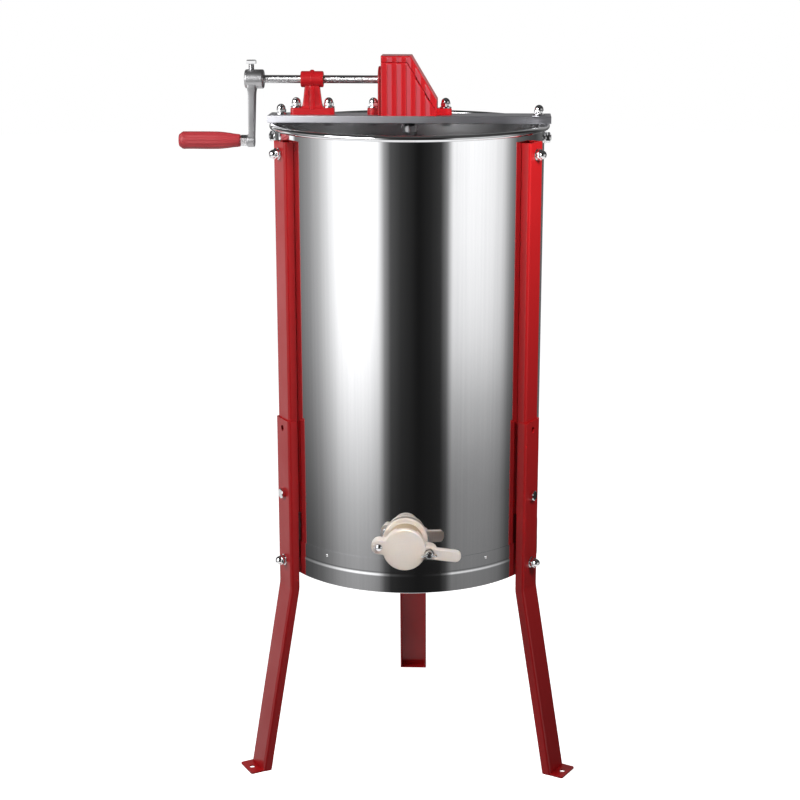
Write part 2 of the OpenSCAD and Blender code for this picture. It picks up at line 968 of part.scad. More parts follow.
module bottom_bearing() {
    color("gray")
    translate([0, 0, cup_z + fit])
        difference() {
            union() {
                cylinder(h = cup_base - fit, d = cup_d);
                cylinder(h = cup_h, d = cup_tube_d);
            }
            translate([0, 0, cup_base])
                cylinder(h = cup_h, d = spindle_d + 2 * run);
        }
}

module bearing_ball() {
    color("lightgray")
    translate([0, 0, ball_z + 2 * fit])
        sphere(d = ball_d);
}

module gate_outline(r, ears) {
    union() {
        circle(r = r);
        translate(pivot)
            circle(r = ears);
        translate(latch)
            circle(r = ears);
        translate([pivot[0], pivot[1] - ears])
            square([latch[0] - pivot[0], 2 * ears]);
    }
}

module gate_body() {
    color("linen")
    at_gate()
        difference() {
            union() {
                translate([0, 0, lock_in - tube_past])
                    cylinder(h = seat_front - lock_in + tube_past, d = gate_tube_d);
                translate([0, 0, gasket_out + fit])
                    cylinder(h = gate_flange_t, d = gate_flange_d);
                translate([0, 0, flange_front - 1])
                    cylinder(h = seat_front - flange_front, d = neck_d);
                translate([0, 0, seat_front - seat_t])
                    linear_extrude(seat_t)
                        gate_outline(blade_r - 1, ear_r);
            }
            translate([0, 0, lock_in - lock_t])
                cylinder(h = drum_r, d = gate_bore);
            for (p = [pivot, latch])
                translate([p[0], p[1], seat_front - 40])
                    cylinder(h = 60, d = g_d + 4 * fit);
            for (p = [pivot, latch])
                translate([p[0], p[1], flange_front - 1])
                    cylinder(h = seat_front - seat_t - flange_front + 1, d = g_head_d + 2);
        }
}

module gate_gasket() {
    color("dimgray")
    at_gate()
        difference() {
            translate([0, 0, gate_wall - 10])
                cylinder(h = gasket_out - gate_wall + 10, d = gate_flange_d - 4);
            translate([0, 0, gate_wall - 20])
                cylinder(h = 60, d = gate_tube_d + 2 * fit);
            rotate([0, 0, gate_tilt])
                rotate([90, 0, 0])
                    cylinder(h = drum_d, r = drum_r + free, center = true, $fn = fine_fn);
        }
}

module gate_lock_nut() {
    color("linen")
    at_gate()
        difference() {
            intersection() {
                translate([0, 0, lock_in])
                    cylinder(h = 30, d = gate_flange_d - 2, $fn = 8);
                rotate([0, 0, gate_tilt])
                    rotate([90, 0, 0])
                        cylinder(h = drum_d, r = wall_in - fit, center = true, $fn = fine_fn);
            }
            translate([0, 0, lock_in - 10])
                cylinder(h = 60, d = gate_tube_d + 2 * fit);
        }
}

module gate_pivot_bolt() {
    front = blade_back + blade_t + 0.2;
    color("gainsboro")
    at_gate()
        translate([pivot[0], pivot[1], 0]) {
            translate([0, 0, front])
                cylinder(h = 2.4, d = g_head_d);
            translate([0, 0, front + 2.4 - eps])
                cylinder(h = 1.2, d = g_head_d - 3);
            translate([0, 0, seat_front - seat_t - 4.6])
                cylinder(h = front - seat_front + seat_t + 4.6 + eps, d = g_d);
            translate([0, 0, seat_front - seat_t - 4 - fit])
                hex(10, 4);
        }
}

module gate_wing_bolt() {
    front = blade_back + blade_t;
    color("gainsboro")
    at_gate()
        translate([latch[0], latch[1], 0]) {
            translate([0, 0, seat_front - seat_t - 4 - fit])
                hex(10, 4);
            translate([0, 0, seat_front - seat_t - 4])
                cylinder(h = front - seat_front + seat_t + 4 + wing_hub_h + 3.5, d = g_d);
        }
}

module gate_blade() {
    color("linen")
    at_gate()
        translate([0, 0, blade_back])
            difference() {
                union() {
                    linear_extrude(blade_t)
                        union() {
                            circle(r = blade_r);
                            translate(pivot)
                                circle(r = ear_r);
                            translate([pivot[0], pivot[1] - ear_r])
                                square([-pivot[0], 2 * ear_r]);
                            translate(latch)
                                circle(r = latch_ear_r);
                            translate([0, arm_y0])
                                square([handle_end - handle_h / 2, arm_y1 - arm_y0 - 1]);
                            translate([handle_end - handle_h / 2, handle_y])
                                circle(r = handle_h / 2);
                        }
                }
                translate([pivot[0], pivot[1], -1])
                    cylinder(h = blade_t + 2, d = g_d + 4 * run);
                translate([latch[0], latch[1], -1])
                    cylinder(h = blade_t + 2, d = notch_w);
                translate([latch[0] - notch_w / 2, latch[1] - 40, -1])
                    cube([notch_w, 40, blade_t + 2]);
            }
}

module wing_nut() {
    color("gainsboro")
    at_gate()
        translate([latch[0], latch[1], blade_back + blade_t + free])
            difference() {
                union() {
                    cylinder(h = wing_hub_h, d = wing_hub_d);
                    for (s = [0, 180])
                        rotate([0, 0, s + 8])
                            translate([0, wing_t / 2, 0])
                                rotate([90, 0, 0])
                                    linear_extrude(wing_t)
                                        polygon([[0, 1], [wing_hub_d / 2, 1], [wing_span / 2, wing_hub_h - 1],
                                                 [wing_span / 2, wing_hub_h + 5], [wing_span / 2 - 3, wing_hub_h + 6],
                                                 [wing_hub_d / 2 - 1, wing_hub_h], [0, wing_hub_h]]);
                }
                translate([0, 0, -1])
                    cylinder(h = wing_hub_h + 10, d = g_d + 2 * run);
            }
}

module drive_shaft() {
    color("gainsboro")
    translate([arm_x - crank_hub_out + 4, 0, shaft_z])
        rotate([0, 90, 0])
            cylinder(h = -arm_x + crank_hub_out - 4 - 7, d = shaft_d);
}

module drive_gear() {
    color("slategray")
    translate([0, 0, shaft_z])
        rotate([0, -90, 0])
            bevel_gear(gear_n, gear_pr, gear_add, gear_ded, gear_cone, 0,
                       gear_hub_d, gear_hub_end, shaft_d + 2 * fit, -1);
}

module crank_arm() {
    low = -crank_r;
    color("lightgray")
    difference() {
        union() {
            translate([arm_x - crank_hub_out, 0, shaft_z])
                rotate([0, 90, 0])
                    cylinder(h = crank_hub_out + crank_hub_in, d = crank_hub_d);
            intersection() {
                translate([arm_x - arm_out_top, 0, shaft_z])
                    rotate([90, 0, 90])
                        linear_extrude(arm_out_top + arm_in_top)
                            polygon([[-arm_w_top / 2, 0], [-arm_w_low / 2, low], [arm_w_low / 2, low],
                                     [arm_w_top / 2, 0]]);
                translate([arm_x, arm_w_top, shaft_z])
                    rotate([90, 0, 0])
                        linear_extrude(2 * arm_w_top)
                            polygon([[-arm_out_top, 1], [-arm_out_low, low - 1], [arm_in_low, low - 1],
                                     [arm_in_top, 1]]);
            }
            translate([arm_x - pin_boss_out, 0, pin_z])
                rotate([0, 90, 0])
                    cylinder(h = pin_boss_out + pin_boss_in, d = pin_boss_d);
        }
        translate([arm_x - crank_hub_out + 4 - fit, 0, shaft_z])
            rotate([0, 90, 0])
                cylinder(h = crank_hub_out + crank_hub_in, d = shaft_d + 2 * fit);
        translate([arm_x, 0, shaft_z])
            cylinder(h = crank_hub_d, d = m_d + 2 * fit);
        translate([arm_x - 2 * pin_boss_out, 0, pin_z])
            rotate([0, 90, 0])
                cylinder(h = 4 * pin_boss_out, d = pin_d + 2 * fit);
    }
}

module crank_screw() {
    color("gainsboro")
    translate([arm_x, 0, shaft_z]) {
        translate([0, 0, shaft_d / 2 + fit])
            cylinder(h = screw_stand - shaft_d / 2, d = m_d);
        translate([0, 0, screw_stand])
            hex(m_nut, m_head_h);
    }
}

module grip_pin() {
    grip_end = grip_x - grip_l;
    color("gainsboro")
    translate([0, 0, pin_z])
        rotate([0, -90, 0]) {
            translate([0, 0, -arm_x - pin_boss_in - fit])
                cylinder(h = -grip_end - pin_head_h - 2 * free + arm_x + pin_boss_in, d = pin_d);
            translate([0, 0, -arm_x + pin_boss_out + fit])
                cylinder(h = ferrule_l - fit, d = ferrule_d);
            translate([0, 0, -grip_end - pin_head_h - 2 * free - 1])
                cylinder(h = pin_head_h, d = pin_head_d);
        }
}

module grip() {
    r1 = grip_neck_d / 2;
    r2 = grip_d / 2;
    color("indianred")
    translate([grip_x, 0, pin_z])
        rotate([0, -90, 0])
            difference() {
                rotate_extrude()
                    polygon([[0, 0], [r1 - 1, 0], [r1, 1], [r1 + 0.6, 0.1 * grip_l], [r2 - 1.4, 0.2 * grip_l],
                             [r2 - 0.2, 0.33 * grip_l], [r2, 0.5 * grip_l], [r2, grip_l - 5],
                             [r2 - 4, grip_l], [0, grip_l]]);
                translate([0, 0, -1])
                    cylinder(h = grip_l + 2, d = pin_d + 2 * run);
                translate([0, 0, grip_l - pin_head_h - 2.2])
                    cylinder(h = pin_head_h + 10, d = pin_head_d + 2 * free);
            }
}

module spindle() {
    top_z = shaft_z - neck_drop - fit;
    color("gainsboro")
    difference() {
        translate([0, 0, spindle_low + 2 * fit])
            cylinder(h = top_z - spindle_low - 2 * fit, d = spindle_d);
        translate([0, 0, collar_z + collar_h / 2])
            rotate([0, 90, 0])
                cylinder(h = spindle_d, d = 3.4);
    }
}

module pinion() {
    color("slategray")
    translate([0, 0, shaft_z])
        rotate([180, 0, 0])
            bevel_gear(pinion_n, pinion_pr, pinion_add, pinion_ded, pinion_cone, 180 / pinion_n,
                       pinion_hub_d, neck_drop + pinion_hub_h, spindle_d + 2 * fit, neck_drop);
}

module spindle_collar() {
    color("gainsboro")
    translate([0, 0, collar_z])
        difference() {
            sleeve(hub_bore, collar_d, collar_h);
            translate([0, 0, collar_h / 2])
                rotate([0, 90, 0])
                    cylinder(h = collar_d, d = 4 + 2 * fit);
        }
}

module collar_screw() {
    color("dimgray")
    translate([spindle_d / 2 + 2 * fit, 0, collar_z + collar_h / 2])
        rotate([0, 90, 0])
            cylinder(h = collar_d / 2 - spindle_d / 2 - 0.6, d = 4);
}

// Rails of one basket level: four along the slots, two across, arms to the hub
module basket_rails(z) {
    full = 2 * post_y2 + rail_w;
    for (s = [-1, 1]) {
        for (y = [post_y1, post_y2])
            translate([-post_x, s * y - rail_w / 2, z])
                cube([2 * post_x, rail_w, rail_h]);
        translate([s * post_x - rail_w / 2, -full / 2, z])
            cube([rail_w, full, rail_h]);
    }
    translate([-post_x, -arm_w / 2, z])
        cube([2 * post_x, arm_w, rail_h]);
    translate([-arm_w / 2, -post_y1, z])
        cube([arm_w, 2 * post_y1, rail_h]);
}

module basket_top() {
    color("silver")
    difference() {
        union() {
            basket_rails(basket_high - rail_h);
            translate([0, 0, basket_high - rail_h - 4])
                cylinder(h = rail_h + 8, d = basket_hub_d);
        }
        translate([0, 0, basket_high - 4 * rail_h])
            cylinder(h = 8 * rail_h, d = hub_bore);
    }
}

module basket_bottom() {
    color("silver")
    difference() {
        union() {
            basket_rails(basket_low);
            translate([0, 0, basket_low])
                cylinder(h = rail_h + 6, d = basket_hub_d);
            for (sx = [-1, 1], sy = [-1, 1])
                translate([sx * rest_x - arm_w, sy > 0 ? post_y1 : -post_y2, basket_low])
                    cube([2 * arm_w, post_y2 - post_y1, rest_t]);
        }
        translate([0, 0, basket_low - 4 * rail_h])
            cylinder(h = 8 * rail_h, d = hub_bore);
    }
}

module basket_posts() {
    color("silver")
    for (sx = [-1, 1], y = [-post_y2, -post_y1, post_y1, post_y2])
        translate([sx * post_x, y, net_low])
            cylinder(h = net_high - net_low, d = post_d);
}

module net(y) {
    width = 2 * post_x - post_d;
    height = net_high - net_low;
    color("silver")
    translate([-width / 2, y - net_t / 2, net_low]) {
        for (i = [1:net_cols])
            translate([i * width / (net_cols + 1) - net_t / 2, 0, 0])
                cube([net_t, net_t, height]);
        for (i = [1:net_rows])
            translate([0, 0, i * height / (net_rows + 1) - net_t / 2])
                cube([width, net_t, net_t]);
    }
}

module front_inner_net() {
    net(-post_y1);
}

module front_outer_net() {
    net(-post_y2);
}

module rear_inner_net() {
    net(post_y1);
}

module rear_outer_net() {
    net(post_y2);
}

drum_shell();
rim_wire();
drum_floor();
base_hoop();
hoop_rivets();
left_upper_leg();
right_upper_leg();
rear_upper_leg();
left_lower_leg();
right_lower_leg();
rear_lower_leg();
leg_wall_bolts();
leg_washers();
leg_cap_nuts();
leg_joint_bolts();
leg_joint_nuts();
crossbar();
tie_eyebolts();
tie_bolts();
tie_washers();
tie_nuts();
deck_bolts();
bar_washers();
bar_cap_nuts();
gear_housing();
gear_cover();
cover_screws();
housing_bush();
pedestal();
pedestal_bush();
top_bush();
bottom_bearing();
bearing_ball();
gate_body();
gate_gasket();
gate_lock_nut();
gate_pivot_bolt();
gate_wing_bolt();
gate_blade();
wing_nut();
drive_shaft();
drive_gear();
crank_arm();
crank_screw();
grip_pin();
grip();
spindle();
pinion();
spindle_collar();
collar_screw();
basket_top();
basket_bottom();
basket_posts();
front_inner_net();
front_outer_net();
rear_inner_net();
rear_outer_net();
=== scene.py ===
"""Honey extractor: a polished drum on red channel legs, with a hand-cranked basket and a honey gate.

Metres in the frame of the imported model: +Z up, floor at zero, drum axis on Z, crossbar along X, gate
towards -Y.
"""
import json
from functools import partial
from math import atan2, cos, pi, radians, sin, tan

import bmesh
import bpy
import numpy as np
from mathutils import Matrix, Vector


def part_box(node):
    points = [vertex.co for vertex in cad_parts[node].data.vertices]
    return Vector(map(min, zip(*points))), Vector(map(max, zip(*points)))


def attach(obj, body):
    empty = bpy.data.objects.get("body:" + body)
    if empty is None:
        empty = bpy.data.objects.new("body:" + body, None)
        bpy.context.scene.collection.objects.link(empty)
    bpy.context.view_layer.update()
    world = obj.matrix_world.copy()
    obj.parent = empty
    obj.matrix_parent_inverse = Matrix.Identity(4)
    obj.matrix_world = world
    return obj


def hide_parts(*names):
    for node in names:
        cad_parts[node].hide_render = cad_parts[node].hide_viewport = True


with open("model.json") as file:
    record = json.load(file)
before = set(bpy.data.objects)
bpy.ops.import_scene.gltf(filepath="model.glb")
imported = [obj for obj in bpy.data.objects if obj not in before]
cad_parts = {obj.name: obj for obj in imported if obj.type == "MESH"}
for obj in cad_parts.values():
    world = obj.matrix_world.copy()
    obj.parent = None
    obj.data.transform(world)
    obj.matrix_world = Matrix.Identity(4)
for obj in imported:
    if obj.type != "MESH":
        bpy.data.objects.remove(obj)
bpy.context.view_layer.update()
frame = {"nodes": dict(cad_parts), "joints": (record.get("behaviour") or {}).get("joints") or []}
joints = {joint["name"]: joint for joint in frame["joints"]}
MM = 0.001
UP = np.array([0.0, 0.0, 1.0])

# Drum wall: one sheet of stainless steel, mirror polished outside and satin inside, rolled into a tube and
# welded behind the rear leg. The hole for the honey gate is punched low in the front, and the bolt holes of
# legs and ties lie under their washers.
drum_low, drum_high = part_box("drum_shell")
rim_top = drum_high[2]
rim_r = 4 * MM
wall_t = 0.8 * MM
wall_in = drum_high[0] - 2 * rim_r
wall_r = wall_in + wall_t
wall_sides = 288
gate_out = np.array(joints["gate_swing"]["axis"])
gate_angle = atan2(gate_out[1], gate_out[0])
gate_tube_r = 23 * MM
gate_room = 34 * MM


def middle(node, axis):
    """Middle of a solid's box along one axis."""
    return (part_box(node)[0][axis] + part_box(node)[1][axis]) / 2


def cells(index):
    """Quads between the neighbours in a grid of point numbers."""
    return np.stack([index[:-1, :-1], index[1:, :-1], index[1:, 1:], index[:-1, 1:]], -1).reshape(-1, 4)


def sheet(across, along, lift, thick, holes=(), wrap=False):
    """Sheet metal with two sides. lift(s, t, depth) is the point at place s, t of the flat blank and at
    a depth below its outside. Corners within a round hole (s, t, radius) move out to the hole's edge and
    the cells left inside it are dropped. Every free edge is closed across the thickness."""
    s, t = np.meshgrid(across, along, indexing="ij")
    inside = np.zeros(s.shape, bool)
    for hole_s, hole_t, radius in holes:
        off = np.maximum(np.hypot(s - hole_s, t - hole_t), 1e-9)
        within = off < radius
        stretch = np.where(within, radius / off, 1.0)
        s = hole_s + (s - hole_s) * stretch
        t = hole_t + (t - hole_t) * stretch
        inside |= within
    index = np.arange(s.size).reshape(s.shape)
    if wrap:
        index = np.concatenate([index, index[:1]])
    quads = cells(index)
    quads = quads[~inside.ravel()[quads].all(1)]
    edges = np.concatenate([quads[:, [0, 1]], quads[:, [1, 2]], quads[:, [2, 3]], quads[:, [3, 0]]])
    free = edges[~np.isin(edges @ [s.size, 1], edges @ [1, s.size])]
    rims = np.stack([free[:, 1], free[:, 0], free[:, 0] + s.size, free[:, 1] + s.size], -1)
    points = np.concatenate([lift(s, t, 0.0).reshape(-1, 3), lift(s, t, thick).reshape(-1, 3)])
    return points, [quads, quads[:, ::-1] + s.size, rims]


def weave(grid, rows_close=False, columns_close=False):
    """Quads between the neighbours in a grid of points, joined round in either direction where asked."""
    index = np.arange(grid.shape[0] * grid.shape[1]).reshape(grid.shape[:2])
    if rows_close:
        index = np.concatenate([index, index[:1]])
    if columns_close:
        index = np.concatenate([index, index[:, :1]], 1)
    return grid.reshape(-1, 3), [cells(index)]


def circle(sides):
    """Angles of a circle's corners, in even steps."""
    return np.arange(sides) * 2 * pi / sides


def spun(radius, height, angle):
    """Grid of rings round +Z: a point at the radius for each height and angle."""
    radius = np.broadcast_to(radius, (len(height), len(angle)))
    height = np.broadcast_to(np.asarray(height)[:, None], radius.shape)
    return np.stack([radius * np.cos(angle), radius * np.sin(angle), height], -1)


def turned(profile, sides=64, ring=False):
    """Profile of (radius, height) carried round +Z. A ring's profile closes on itself."""
    radius, height = np.asarray(profile, float).T
    return weave(spun(radius[:, None], height, circle(sides)), ring, True)


def piece(name, body, slot, finish, shells, *nodes):
    """One object from closed shells of points and face blocks: doubles merged, faces turned outwards,
    and edges that turn more than the crease angle left hard."""
    crease = radians(30)
    points, faces, start = [], [], 0
    for shell_points, blocks in shells:
        points.append(shell_points)
        for block in blocks:
            faces += (block + start).tolist()
        start += len(shell_points)
    mesh = bpy.data.meshes.new(name)
    mesh.from_pydata(np.concatenate(points).tolist(), [], faces)
    work = bmesh.new()
    work.from_mesh(mesh)
    bmesh.ops.remove_doubles(work, verts=work.verts, dist=1e-6)
    bmesh.ops.recalc_face_normals(work, faces=work.faces)
    work.to_mesh(mesh)
    work.free()
    mesh.shade_smooth()
    mesh.set_sharp_from_angle(angle=crease)
    mesh.materials.append(finish)
    made = bpy.data.objects.new(name, mesh)
    bpy.context.scene.collection.objects.link(made)
    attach(made, body)
    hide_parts(*nodes)


def add(tree, kind, settings=None, sockets=None):
    """A shader node with its settings and its sockets: a socket takes a plain value or another's output."""
    made = tree.nodes.new("ShaderNode" + kind)
    for name, value in (settings or {}).items():
        setattr(made, name, value)
    for name, value in (sockets or {}).items():
        if isinstance(value, bpy.types.NodeSocket):
            tree.links.new(value, made.inputs[name])
        else:
            made.inputs[name].default_value = value
    return made


def effect(name, inputs, outputs):
    """A node group with float inputs, each with its default, and float outputs. Comes with what it is given,
    what it puts out, and the place on the piece."""
    tree = bpy.data.node_groups.new(name, "ShaderNodeTree")
    for label, default in inputs.items():
        socket = tree.interface.new_socket(name=label, in_out="INPUT", socket_type="NodeSocketFloat")
        socket.default_value = default
    for label in outputs:
        tree.interface.new_socket(name=label, in_out="OUTPUT", socket_type="NodeSocketFloat")
    given, result = tree.nodes.new("NodeGroupInput").outputs, tree.nodes.new("NodeGroupOutput").inputs
    return tree, given, result, add(tree, "TexCoord").outputs["Object"]


# Rolled and polished metal: long hairlines along one axis, soft hand marks, and a slight wave of the sheet.
rolled_grain, given, result, place = effect(
    "rolled_grain", {"Along X": 1.0, "Along Y": 1.0, "Along Z": 1.0, "Marks": 12.0},
    ["Hairline", "Mark", "Height"])
stretch = add(rolled_grain, "CombineXYZ", None, {axis: given["Along " + axis] for axis in "XYZ"})
drawn = add(rolled_grain, "VectorMath", {"operation": "MULTIPLY"}, {0: place, 1: stretch.outputs[0]})
hairline = add(rolled_grain, "TexNoise", None, {"Vector": drawn.outputs[0], "Scale": 1.0, "Detail": 3.0})
mark = add(rolled_grain, "TexNoise", None,
           {"Vector": place, "Scale": given["Marks"], "Detail": 5.0, "Roughness": 0.65})
mark_range = add(rolled_grain, "MapRange", None, {0: mark.outputs[0], 1: 0.42, 2: 0.72, 3: 0.0, 4: 1.0})
wave = add(rolled_grain, "Math", {"operation": "MULTIPLY_ADD"},
           {0: hairline.outputs[0], 1: 0.25, 2: mark.outputs[0]})
rolled_grain.links.new(hairline.outputs[0], result["Hairline"])
rolled_grain.links.new(mark_range.outputs[0], result["Mark"])
rolled_grain.links.new(wave.outputs[0], result["Height"])


def material(name, constants, shared, given=None):
    """A new material with constants on its shader's own sockets, and the outputs of a shared effect in it."""
    made = bpy.data.materials.new(name)
    made.use_nodes = True
    for socket, value in constants.items():
        made.node_tree.nodes["Principled BSDF"].inputs[socket].default_value = value
    return made, add(made.node_tree, "Group", {"node_tree": shared}, given).outputs


def lead(made, light, dark, tone, gloss, height, bump, lift):
    """Let masks lead a material: its colour from light to dark by the tone, its roughness by the gloss of
    (mask, from, to, smooth, dull), and its relief by the height."""
    tree = made.node_tree
    shader = tree.nodes["Principled BSDF"]
    colour = add(tree, "Mix", {"data_type": "RGBA"}, {0: tone, 6: (*light, 1), 7: (*dark, 1)})
    rough = add(tree, "MapRange", None, dict(enumerate(gloss)))
    relief = add(tree, "Bump", None, {"Height": height, "Strength": bump, "Distance": lift})
    tree.links.new(colour.outputs[2], shader.inputs["Base Color"])
    tree.links.new(rough.outputs[0], shader.inputs["Roughness"])
    tree.links.new(relief.outputs[0], shader.inputs["Normal"])
    return made


def metal(name, light, dark, smooth, dull, along, marks=12.0, bump=0.02, lift=0.2 * MM):
    """Bare metal: its colour follows the hairlines, its gloss the hand marks, its relief both."""
    made, grain = material(name, {"Metallic": 1.0}, rolled_grain,
                           {"Along X": along[0], "Along Y": along[1], "Along Z": along[2], "Marks": marks})
    gloss = (grain["Mark"], 0.0, 1.0, smooth, dull)
    return lead(made, light, dark, grain["Hairline"], gloss, grain["Height"], bump, lift)


mirror = ((0.86, 0.86, 0.87), (0.76, 0.765, 0.78), 0.045, 0.10, (260, 260, 3), 9.0)
polished_steel = metal("polished_steel", *mirror)
drum_steel = metal("drum_steel", *mirror)
satin = 0.26
tree = drum_steel.node_tree
roughness = tree.nodes["Principled BSDF"].inputs["Roughness"]
polish = roughness.links[0].from_socket
place = add(tree, "TexCoord").outputs["Object"]
level = add(tree, "VectorMath", {"operation": "MULTIPLY"}, {0: place, 1: (1, 1, 0)})
reach = add(tree, "VectorMath", {"operation": "LENGTH"}, {0: level.outputs[0]})
inner_face = add(tree, "MapRange", None, {0: reach.outputs["Value"], 1: wall_in, 2: wall_r, 3: satin, 4: 0.0})
duller = add(tree, "Math", {"operation": "MAXIMUM"}, {0: polish, 1: inner_face.outputs[0]})
tree.links.new(duller.outputs[0], roughness)


def wall_point(s, t, depth):
    """The blank bent round the drum axis: s along the girth from the gate, t the height."""
    angle = gate_angle + s / wall_r
    radius = wall_r - depth
    return np.stack([radius * np.cos(angle), radius * np.sin(angle), t], -1)


gate_z = middle("gate_gasket", 2)
girth = np.linspace(-pi, pi, wall_sides, endpoint=False) * wall_r
heights = np.concatenate([[drum_low[2]], np.linspace(gate_z - gate_room, gate_z + gate_room, 18),
                          np.linspace(gate_z + 70 * MM, rim_top - 14 * MM, 8), [rim_top - rim_r]])
wall = sheet(girth, heights, wall_point, wall_t, [(0.0, gate_z, gate_tube_r)], wrap=True)
roll_turn = circle(24)
roll_mid = np.array([wall_in + rim_r, rim_top - rim_r])
roll = roll_mid + rim_r * np.stack([np.cos(roll_turn), np.sin(roll_turn)], -1)
piece("drum_wall", "stand", "polished_steel", drum_steel, [wall, turned(roll, wall_sides, ring=True)],
      "drum_shell", "rim_wire")

# Base hoop: a band of the same steel slipped over the wall's lower end, with a pressed step that stiffens
# it and a folded lower edge. Five pop rivets hold hoop, wall and floor pan together.
hoop_low, hoop_high = (corner[2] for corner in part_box("base_hoop"))
hoop_in = wall_r + 0.05 * MM
hoop_out = hoop_in + 0.9 * MM
dip_z = hoop_low + 30 * MM
dip_h = 2 * MM
dip_in = 0.065 * MM
swell_z = dip_z - dip_h
swell_h = 5 * MM
swell_out = 0.24 * MM
skirt_r = hoop_out - dip_in + swell_out
fold_t = 1.4 * MM
fold_h = 3.2 * MM
fold_z = hoop_low + 4 * MM
leg_turn = gate_angle + pi / 2
rivet_z = middle("hoop_rivets", 2)
rivet_count = 5
rivet_head = 2.3 * MM
rivet_h = 0.7 * MM
rivet_in = wall_in - 1.1 * MM


def rounded(corners, radius, steps=4, closed=False):
    """Corners of a path as arcs. Each corner moves back along both its sides by radius over the tangent
    of half its angle, an arc joins the two points, and a held point beside each keeps the sides flat."""
    corner = np.asarray(corners, float)
    before, after = np.roll(corner, 1, 0) - corner, np.roll(corner, -1, 0) - corner
    before /= np.linalg.norm(before, axis=1)[:, None]
    after /= np.linalg.norm(after, axis=1)[:, None]
    half = np.arccos(np.clip((before * after).sum(1), -1, 1))[:, None] / 2
    radius = np.broadcast_to(np.asarray(radius, float), len(corner))[:, None]
    back = radius / np.tan(half)
    bisector = (before + after) / np.linalg.norm(before + after, axis=1)[:, None]
    centre = corner + bisector * radius / np.sin(half)
    first, last = corner + before * back - centre, corner + after * back - centre
    sweep = (pi - 2 * half)[:, None]
    share = np.linspace(0, 1, steps + 1)[None, :, None]
    bend = np.sin((1 - share) * sweep) * first[:, None] + np.sin(share * sweep) * last[:, None]
    bend = centre[:, None] + bend / np.sin(sweep)
    hold = 0.2 * radius
    path = np.concatenate([(corner + before * (back + hold))[:, None], bend,
                           (corner + after * (back + hold))[:, None]], 1)
    if closed:
        return path.reshape(-1, 2)
    return np.concatenate([corner[:1], path[1:-1].reshape(-1, 2), corner[-1:]])


def eased(share):
    """A share kept from 0 to 1 that starts and stops gently: three times its square less twice its cube."""
    share = np.clip(share, 0, 1)
    return share * share * (3 - 2 * share)


def moved(shell, axes, at):
    """A shell with its x, y and z laid along three axes and its origin carried to a point."""
    return shell[0] @ np.array(axes, float) + np.array(at, float), shell[1]


def stood(shell, at, out, up=UP):
    """A shell made along +Z, stood on a point with its +Z outwards and its +Y as near to up as it goes."""
    out = np.array(out, float) / np.linalg.norm(out)
    beside = np.cross(up, out)
    beside /= np.linalg.norm(beside)
    return moved(shell, [beside, np.cross(out, beside), out], at)


def dome(radius, low, rise, steps):
    """Profile of a dome: a quarter of an ellipse from its rim, at a height, up to its middle."""
    turn = np.linspace(0, pi / 2, steps)
    return np.stack([radius * np.cos(turn), low + rise * np.sin(turn)], -1)


def hardware(name, finish, shells, node):
    """A set of like fasteners on the stand."""
    piece(name, "stand", "bright_steel", finish, shells, node)


band_z = np.concatenate([[hoop_high], np.linspace(dip_z + 1 * MM, swell_z - swell_h - 1 * MM, 61), [fold_z]])
band_r = hoop_out - dip_in * eased((dip_z - band_z) / dip_h) + swell_out * eased((swell_z - band_z) / swell_h)
fold = rounded([[skirt_r, fold_z], [skirt_r, hoop_low], [hoop_in - fold_t, hoop_low],
                [hoop_in - fold_t, hoop_low + fold_h], [hoop_in, hoop_low + fold_h]], 0.65 * MM)[1:]
hoop_line = np.concatenate([np.stack([band_r, band_z], -1), fold, [[hoop_in, hoop_high]]])
piece("bottom_hoop", "stand", "polished_steel", polished_steel, [turned(hoop_line, wall_sides, ring=True)],
      "base_hoop")

rivet = turned(np.concatenate([[[0, 0]], dome(rivet_head, 0, rivet_h, 6)]), 24)
rivets = []
for turn in leg_turn + pi / 2 + circle(rivet_count):
    out = np.array([cos(turn), sin(turn), 0])
    rivets.append(stood(rivet, out * hoop_out + UP * rivet_z, out))
    rivets.append(stood(rivet, out * rivet_in + UP * rivet_z, -out))
bright_steel = metal("bright_steel", (0.84, 0.84, 0.85), (0.74, 0.74, 0.75), 0.06, 0.17,
                     (900, 900, 900), 140.0)
hardware("pop_rivets", bright_steel, rivets, "hoop_rivets")

# Floor pan: pressed from sheet, rising to the middle so that the honey runs to the wall and the gate. Its
# flange is riveted inside the wall. A cast cup on the middle holds the ball on which the spindle turns.
(_, _, pan_low), (_, _, pan_high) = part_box("drum_floor")
pan_t = 1 * MM
pan_r = wall_in - 0.05 * MM
pan_flat = 34 * MM
pan_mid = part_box("bottom_bearing")[0][2] - 0.05 * MM
pan_corner = [0.8 * MM] + [2.5 * MM] * 2 + [0.3 * MM] * 2 + [1.5 * MM, 3.5 * MM, 0.8 * MM]
pan = rounded([[0, pan_mid], [pan_flat, pan_mid], [pan_r - pan_t, pan_low + pan_t], [pan_r - pan_t, pan_high],
               [pan_r, pan_high], [pan_r, pan_low], [pan_flat, pan_mid - pan_t], [0, pan_mid - pan_t]],
              pan_corner)
piece("floor_pan", "stand", "polished_steel", polished_steel, [turned(pan, 192)], "drum_floor")

